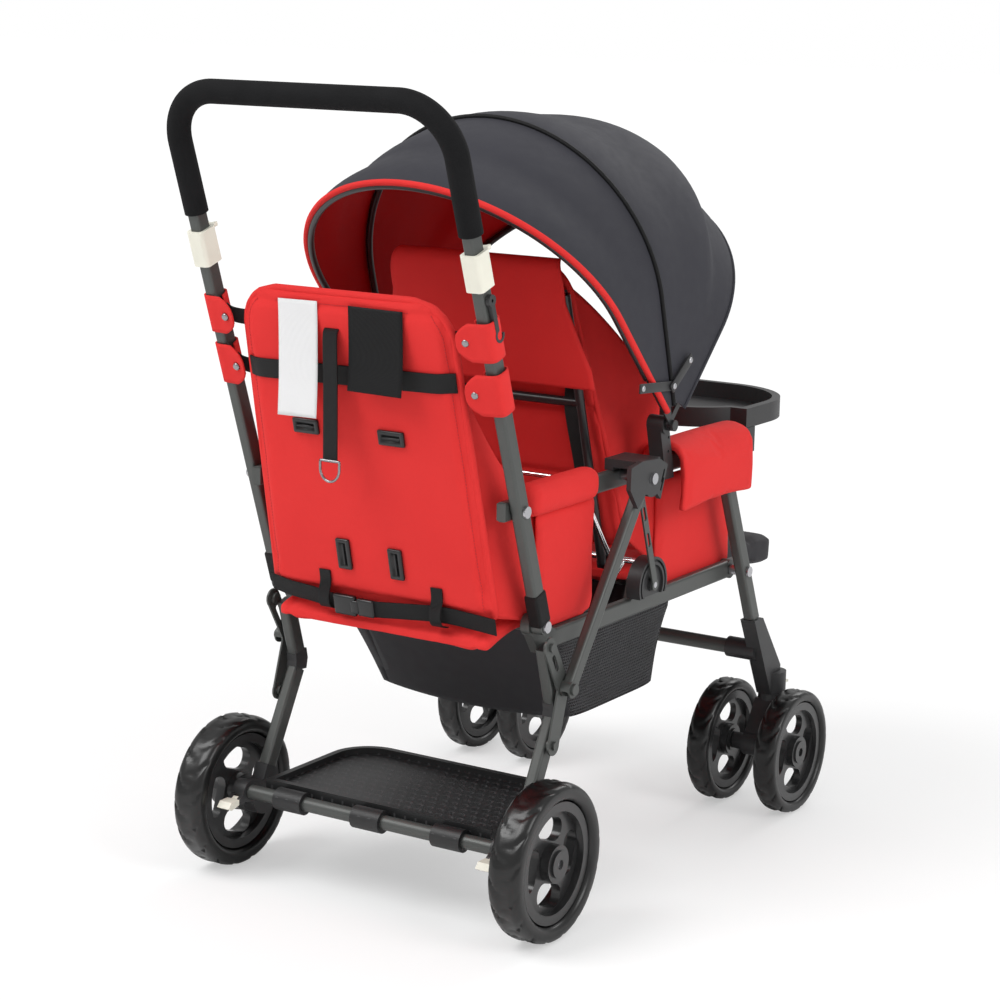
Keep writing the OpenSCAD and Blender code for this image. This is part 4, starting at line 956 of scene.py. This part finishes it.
low_belt = [rest_frame @ Vector((x / 1000, -0.016 - 0.004 * math.cos(x / 60), z / 1000)) for x, z in
            [(-168, 10), (-140, 4), (-100, 3), (-60, -2), (-10, -3), (40, 2), (100, 6), (140, 2), (176, -2)]]
piece(ribbon(curve(low_belt), lambda u: UPWARD * 0.022, WEB_THICK, 80), "seat_belt", WEB, "handle")
loops = []
for x in (-78, 94):
    pts = [on_back(x, 40, 0.001), on_back(x, 22, 0.002)]
    pts += spots(rest_frame, [(x, -25, 8), (x, -24, -8), (x, -10, -14)])
    loops.append(ribbon(curve(pts), lambda u: ACROSS * 0.017, 0.0015, 24))
piece(join(loops), "belt_loops", WEB, "handle")
m = rest_frame @ Matrix.Translation((-0.033, -0.021, -0.002))
clip = [block((0.034, 0.008, 0.028), m @ Matrix.Translation((-0.014, 0, 0)), 0.003, 4),
        block((0.026, 0.007, 0.024), m @ Matrix.Translation((0.018, 0, 0)), 0.0028, 4),
        block((0.012, 0.0095, 0.018), m @ Matrix.Translation((0.002, 0, 0)), 0.002, 3)]
piece(join(clip), "belt_clip", BUCKLE, "handle")
print("rear seat back trimmed")

# %% [markdown]
# Edges are bound with a rolled bead. The front seat back also has a slip cover that drops over the top of its
# steel frame, which is how such a back stays up.

# %% Edge beads and slip cover


def edge_path(half, height, inset=0.0035):
    pts = []
    rows = [height * k / 60 for k in range(61)]
    pts += [(half(z) - inset, z) for z in rows]
    pts += [(-(half(z) - inset), z) for z in reversed(rows)]
    pts.append(pts[0])
    return [Vector((x, 0, z)) for x, z in pts]


def edge_bead(name, pad, matrix, body, radius=0.0042):
    half, height, _ = shapes[pad]
    pts = [matrix @ q for q in edge_path(half, height)]
    return piece(pipe(polyline(pts), radius, 260, 10), name, RED, body)


edge_bead("rear_back_bead", "rear_back_pad", rest_frame, "handle", 0.005)
edge_bead("front_back_bead", "front_back_pad", front_pad, "front_back")
over_top = ((6, 408), (4, 428), (-8, 438), (-22, 432), (-27, 412), (-28, 340), (-27, 262))
slip = curve(spots(back_frame, [(0, y, z) for y, z in over_top]))


def slip_wide(u):
    flare = 0.1 * min(1.0, max(0.0, u - 0.08) * 1.25)
    return ACROSS * (0.222 + flare + 0.02 * math.sin(math.pi * min(1.0, u * 2.2)))


cover = piece(ribbon(slip, slip_wide, 0.003, 60, 40), "slip_cover", RED, "front_back")
area = sheet_area(cover)
straps = []
for s in (1, -1):
    run = ((119, -15, 256), (119, -23, 236), (119, -24, 215), (119, -19, 150), (118, -17, 92))
    run = spots(back_frame, [(s * x, y, z) for x, y, z in run])
    straps.append(ribbon(curve(run), lambda u: ACROSS * 0.02, WEB_THICK, 30))
piece(join(straps), "front_back_straps", WEB, "front_back")
print("beads, straps and slip cover, area", round(area, 4))

# %% [markdown]
# Four snap flaps hold the seat back to the push bar. Each wraps a tube from the inside round the front and
# outside, and its tip comes back across the rear face under a snap.

# %% Snap flaps
grip = frame_of(FOLD, (0, -math.sin(LEAN), math.cos(LEAN)))
along_bar = grip.to_3x3() @ Vector((0, 0, 1))
FLAP_THICK = 0.0022


def flap(s, h, tall):
    xy = [(168, -19), (180, -16.5), (192, -14.5), (205, -14.2), (213.2, -12), (214.2, -4)]
    xy += [(214.2, 6), (211, 13), (203, 14.2), (194, 13.4), (190.5, 8), (189, -2)]
    path = curve(spots(grip, [(s * x, y, h) for x, y in xy]))

    def width(u):
        rounded = min(1.0, 0.2 + 1.9 * math.sqrt(max(0.0, u)))
        return along_bar * (tall * rounded * (1 - 0.25 * max(0, u - 0.6)))
    return ribbon(path, width, FLAP_THICK, 60, 10)


flaps, snaps, ties = [], [], []
for s in (1, -1):
    for h, tall in ((397, 0.05), (328, 0.054)):
        flaps.append(flap(s, h, tall))
        outward = grip @ Matrix.Translation((s * 0.180, -0.0187, h / 1000)) @ Matrix.Rotation(math.pi / 2, 4, "X")
        snaps.append(button(0.0055, 0.0028, outward))
        tie = ((189.5, 2, 0), (178, -4, -2), (160, -3, -4), (138, 0, -6))
        tie = spots(grip, [(s * x, y, h + dz) for x, y, dz in tie])
        ties.append(ribbon(curve(tie), lambda u: UPWARD * 0.02, WEB_THICK, 20))
piece(join(flaps), "snap_flaps", RED, "handle")
piece(join(snaps), "snap_caps", NICKEL, "handle")
piece(join(ties), "flap_ties", WEB, "handle")
print("flaps, snaps and ties:", 4)

# %% [markdown]
# Stitching is what makes a seam read as sewn. A row of thread runs inside the bound edge of the seat back, down its
# sides and across its top. A net sleeve keeps fingers out of the fold joint at the foot of each push bar tube.

# %% Stitches and sleeves
half, height, _ = shapes["rear_back_pad"]
SEAM_IN, PROUD, STITCH = 0.0125, 0.0004, 0.003
inner = [q for q in edge_path(half, height, SEAM_IN) if 0.012 < q.z < height - SEAM_IN]
row = [on_back(q.x * 1000, q.z * 1000, PROUD) for q in inner]
top_row = [on_back(x, (height - SEAM_IN) * 1000, PROUD) for x in range(-100, 101, 10)]
side_rows = (row[:len(row) // 2], row[len(row) // 2:])
sewn = [stitches(polyline(r), 90, STITCH, OUT) for r in side_rows]
sewn.append(stitches(polyline(top_row), 50, STITCH, OUT))
piece(join(sewn), "back_stitches", THREAD, "handle", smooth=False)


def sleeve(s):
    bm = block((0.0196, 0.0256, 0.046), grip @ Matrix.Translation((s * 0.203, 0, 0.026)), 0.004, 3)
    ends = [f for f in bm.faces if abs(f.normal.dot(along_bar)) > 0.9]
    bmesh.ops.delete(bm, geom=ends, context="FACES")
    bmesh.ops.solidify(bm, geom=bm.faces[:], thickness=0.0008)
    return bm


piece(join([sleeve(1), sleeve(-1)]), "foot_sleeves", WEB, "handle")
print("stitches and sleeves done")

# %% [markdown]
# A bead of piping covers the seam over the middle bow and the front edge. The rear edge is bound in red.

# %% Canopy piping


def bow_path(leg, degrees, lift):
    return lambda u: arch_point(u, leg, math.radians(degrees), BOW_HALF + lift)


BEADS = (
    (front_stops[0], 0.0022, 0.0026, 10, "front_piping", CHARCOAL, "canopy_front_part"),
    ((MID_BOW, MID_LEG), 0.0036, 0.0031, 10, "middle_piping", TAG_BLACK, "canopy_mid_part"),
    (rear_stops[-1], 0.0009, 0.0042, 12, "rear_binding", RED, "canopy_rear_part"),
)
for (degrees, leg), lift, radius, around, name, finish, body in BEADS:
    piece(pipe(bow_path(leg, degrees, lift), radius, 120, around), name, finish, body)
print("canopy piping done")

# %% [markdown]
# A two-bar stay on each side holds the canopy open: its middle rivet is pushed past the line of its ends.

# %% Canopy stays
STAY_REAR, STAY_MID, STAY_FRONT = (234, 666.6), (311, 660.9), (352.6, 690.3)


def stay_bar(s, a, b, x):
    """A flat link with round ends, outside the cloth, from a to b on the side view."""
    p, q = at(s * x, *a), at(s * x, *b)
    along = (q - p).normalized()
    m = Matrix((Vector((s, 0, 0)), along, Vector((s, 0, 0)).cross(along))).transposed().to_4x4()
    return block((0.003, (q - p).length + 0.014, 0.013), Matrix.Translation((p + q) / 2) @ m, 0.0013, 3)


stays, rivets = [], []
for s in (1, -1):
    stays += [stay_bar(s, STAY_REAR, STAY_MID, 235.0), stay_bar(s, STAY_MID, STAY_FRONT, 238.2)]
    for spot, x in ((STAY_REAR, 236.8), (STAY_MID, 240), (STAY_FRONT, 240)):
        outward = Matrix.Translation(at(s * x, *spot)) @ Matrix.Rotation(s * math.pi / 2, 4, "Y")
        rivets.append(button(0.0045, 0.0024, outward))
piece(join(stays), "canopy_stays", BLACK, "canopy_mid_part")
piece(join(rivets), "stay_rivets", STEEL, "canopy_mid_part")
print("canopy stays:", len(stays), "bars")

# %% [markdown]
# A gusset closes the corner between a seat back and the side of its seat, as a sewn-in triangle of plain cloth
# does. It is sewn to the back and rides on it.

# %% Gussets
GUSSET_WIDTH = 0.25


def gusset(name, a0, a1, b0, b1, out, hollow, body):
    """A sheet from the edge a0-a1 to the edge b0-b1, its top hollowed by a share, with a slight bulge."""
    bm = grid(24, 40)
    for v in bm.verts:
        u, w = v.co.x + 0.5, v.co.y + 0.5
        top_w = w - hollow * math.sin(math.pi * u) * w
        p = a0.lerp(a1, top_w).lerp(b0.lerp(b1, top_w), u)
        p.x += out * (0.006 * math.sin(math.pi * u) + 0.0015 * math.sin(9 * w + 3 * u))
        v.co = p
    bmesh.ops.recalc_face_normals(bm, faces=bm.faces)
    area = sum(f.calc_area() for f in bm.faces)
    bmesh.ops.solidify(bm, geom=bm.faces[:], thickness=0.0016)
    o = piece(bm, name, RED, body)
    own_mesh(o)
    area / GUSSET_WIDTH
    return o


gussets = []
for s, hand in HANDS:
    low, top = spots(rest_frame, [(s * 163, -2, 4), (s * 146, -2, 345)])
    gussets.append(gusset("rear_gusset_" + hand, low, top, at(s * 184, 108, 379), at(s * 182, 70, 527), s, 0.16,
                          "handle"))
    low, top = spots(front_pad, [(s * 160, 0, 20), (s * 122, 0, 375)])
    gussets.append(gusset("front_gusset_" + hand, low, top, at(s * 172, 392, 398), at(s * 174, 388, 640), -s, -0.06,
                          "front_back"))
print("gussets:", len(gussets))

# %% [markdown]
# A tyre is a ring of solid rubber. Its tread is moulded with pairs of curved blades that lean into the roll. The
# ring is a grid bent round the rim, and the grooves between blades are pressed in from the moulded size.

# %% Tyres
SQUARENESS, GROOVE_DEEP = 3.2, 0.0030


def tyre(name, body, x, ys, radius, rim, width, blades):
    c = at(x, ys, radius)
    tall, half = (radius - rim) / 1000, width / 2000
    bm = grid(blades * 12, 32)
    for v in bm.verts:
        a, w = 2 * math.pi * (v.co.x + 0.5), (v.co.y + 0.5) * 2 * math.pi
        cx, cy = math.cos(w), math.sin(w)
        e = 2 / SQUARENESS
        px, pr = half * math.copysign(abs(cx) ** e, cx), tall / 2 * math.copysign(abs(cy) ** e, cy)
        r = (radius + rim) / 2000 + pr
        side = px / half
        if pr > 0:
            lean = a * blades / (2 * math.pi) + 0.75 * abs(side) ** 1.6 + (0.5 if side > 0 else 0)
            groove = math.exp(-(((lean % 1) - 0.5) / 0.085) ** 4) * min(1, abs(side) * 4)
            centre = math.exp(-(side / 0.07) ** 2)
            r -= GROOVE_DEEP * max(groove * (1 - max(0, abs(side) - 0.8) * 5), centre * 0.6) * min(1, pr / tall * 4)
        v.co = c + Vector((px, r * math.cos(a), r * math.sin(a)))
    piece(bm, name + "_tread", RUBBER, body, [name])


for s, hand in HANDS:
    tyre("rear_tyre_" + hand, "rear_wheel_" + hand, s * 247, 0, 102, 78.5, 46, 16)
    for x, end in ((271, "o"), (163.4, "i")):
        tyre("front_tyre_" + hand + end, "front_wheel_" + hand + end, s * x, 637, 89.5, 72.5, 34, 16)
print("tyres done")

# %% [markdown]
# The basket hangs from the rails: a solid cloth back and floor, and net at the sides. It is modelled whole and then
# cut in three. On folding, the real basket's middle is lifted flat under the seats, while the nets are drawn in
# between the wheels; here all three parts ride on the chassis.

# %% Basket
NET_AT = 0.140
BAG_HALF, BAG_LOW, BAG_RIM = 187.5, 222, 370


def basket_shape():
    bm = bmesh.new()
    bmesh.ops.create_cube(bm, size=1)
    top = [f for f in bm.faces if f.normal.z > 0.9]
    bmesh.ops.delete(bm, geom=top, context="FACES_ONLY")
    bmesh.ops.subdivide_edges(bm, edges=bm.edges[:], cuts=23, use_grid_fill=True)
    for v in bm.verts:
        u, w, h = v.co.x * 2, v.co.y * 2, v.co.z + 0.5
        draw = 1 - 0.17 * (1 - h) - 0.03 * math.sin(math.pi * h) - 0.05 * max(0.0, h - 0.8) * 5
        u2 = u * math.sqrt(1 - 0.06 * w ** 6)
        w2 = w * math.sqrt(1 - 0.06 * u ** 6)
        sag = (1 - u * u) * (1 - h) * (10 + 6 * (1 - w * w))
        rim = BAG_RIM - 8.3 * w
        rear, front = 118 + 94 * (1 - h), 438 - 6 * (1 - h)
        along = (rear + front + (front - rear) * w2) / 2
        v.co = at(BAG_HALF * u2 * draw, along, BAG_LOW + (rim - BAG_LOW) * h - sag)
    bmesh.ops.recalc_face_normals(bm, faces=bm.faces)
    for f in bm.faces:
        f.material_index = 1 if abs(f.normal.x) > 0.6 else 0
    for x in (NET_AT, -NET_AT):
        everything = bm.verts[:] + bm.edges[:] + bm.faces[:]
        bmesh.ops.bisect_plane(bm, geom=everything, plane_co=(x, 0, 0), plane_no=(1, 0, 0))
    return bm


def basket_part(name, wanted, hidden, anchor):
    bm = basket_shape()
    others = [f for f in bm.faces if not wanted(f.calc_center_median().x)]
    bmesh.ops.delete(bm, geom=others, context="FACES")
    o = piece(bm, name, [DARK, NET], "chassis", hidden, tidy=False)
    area = sum(f.area for f in o.data.polygons)
    wall = o.modifiers.new("cloth", "SOLIDIFY")
    wall.thickness, wall.offset = 0.0016, -1
    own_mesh(o)
    return area


area = basket_part("basket_cloth", lambda x: abs(x) < NET_AT, ["basket"], at(0, 0, 362))
for s, hand in HANDS:
    area += basket_part("basket_net_" + hand, lambda x: s * x > NET_AT, [], (s * NET_AT, 0, 0))
print("basket cloth area", round(area, 3))
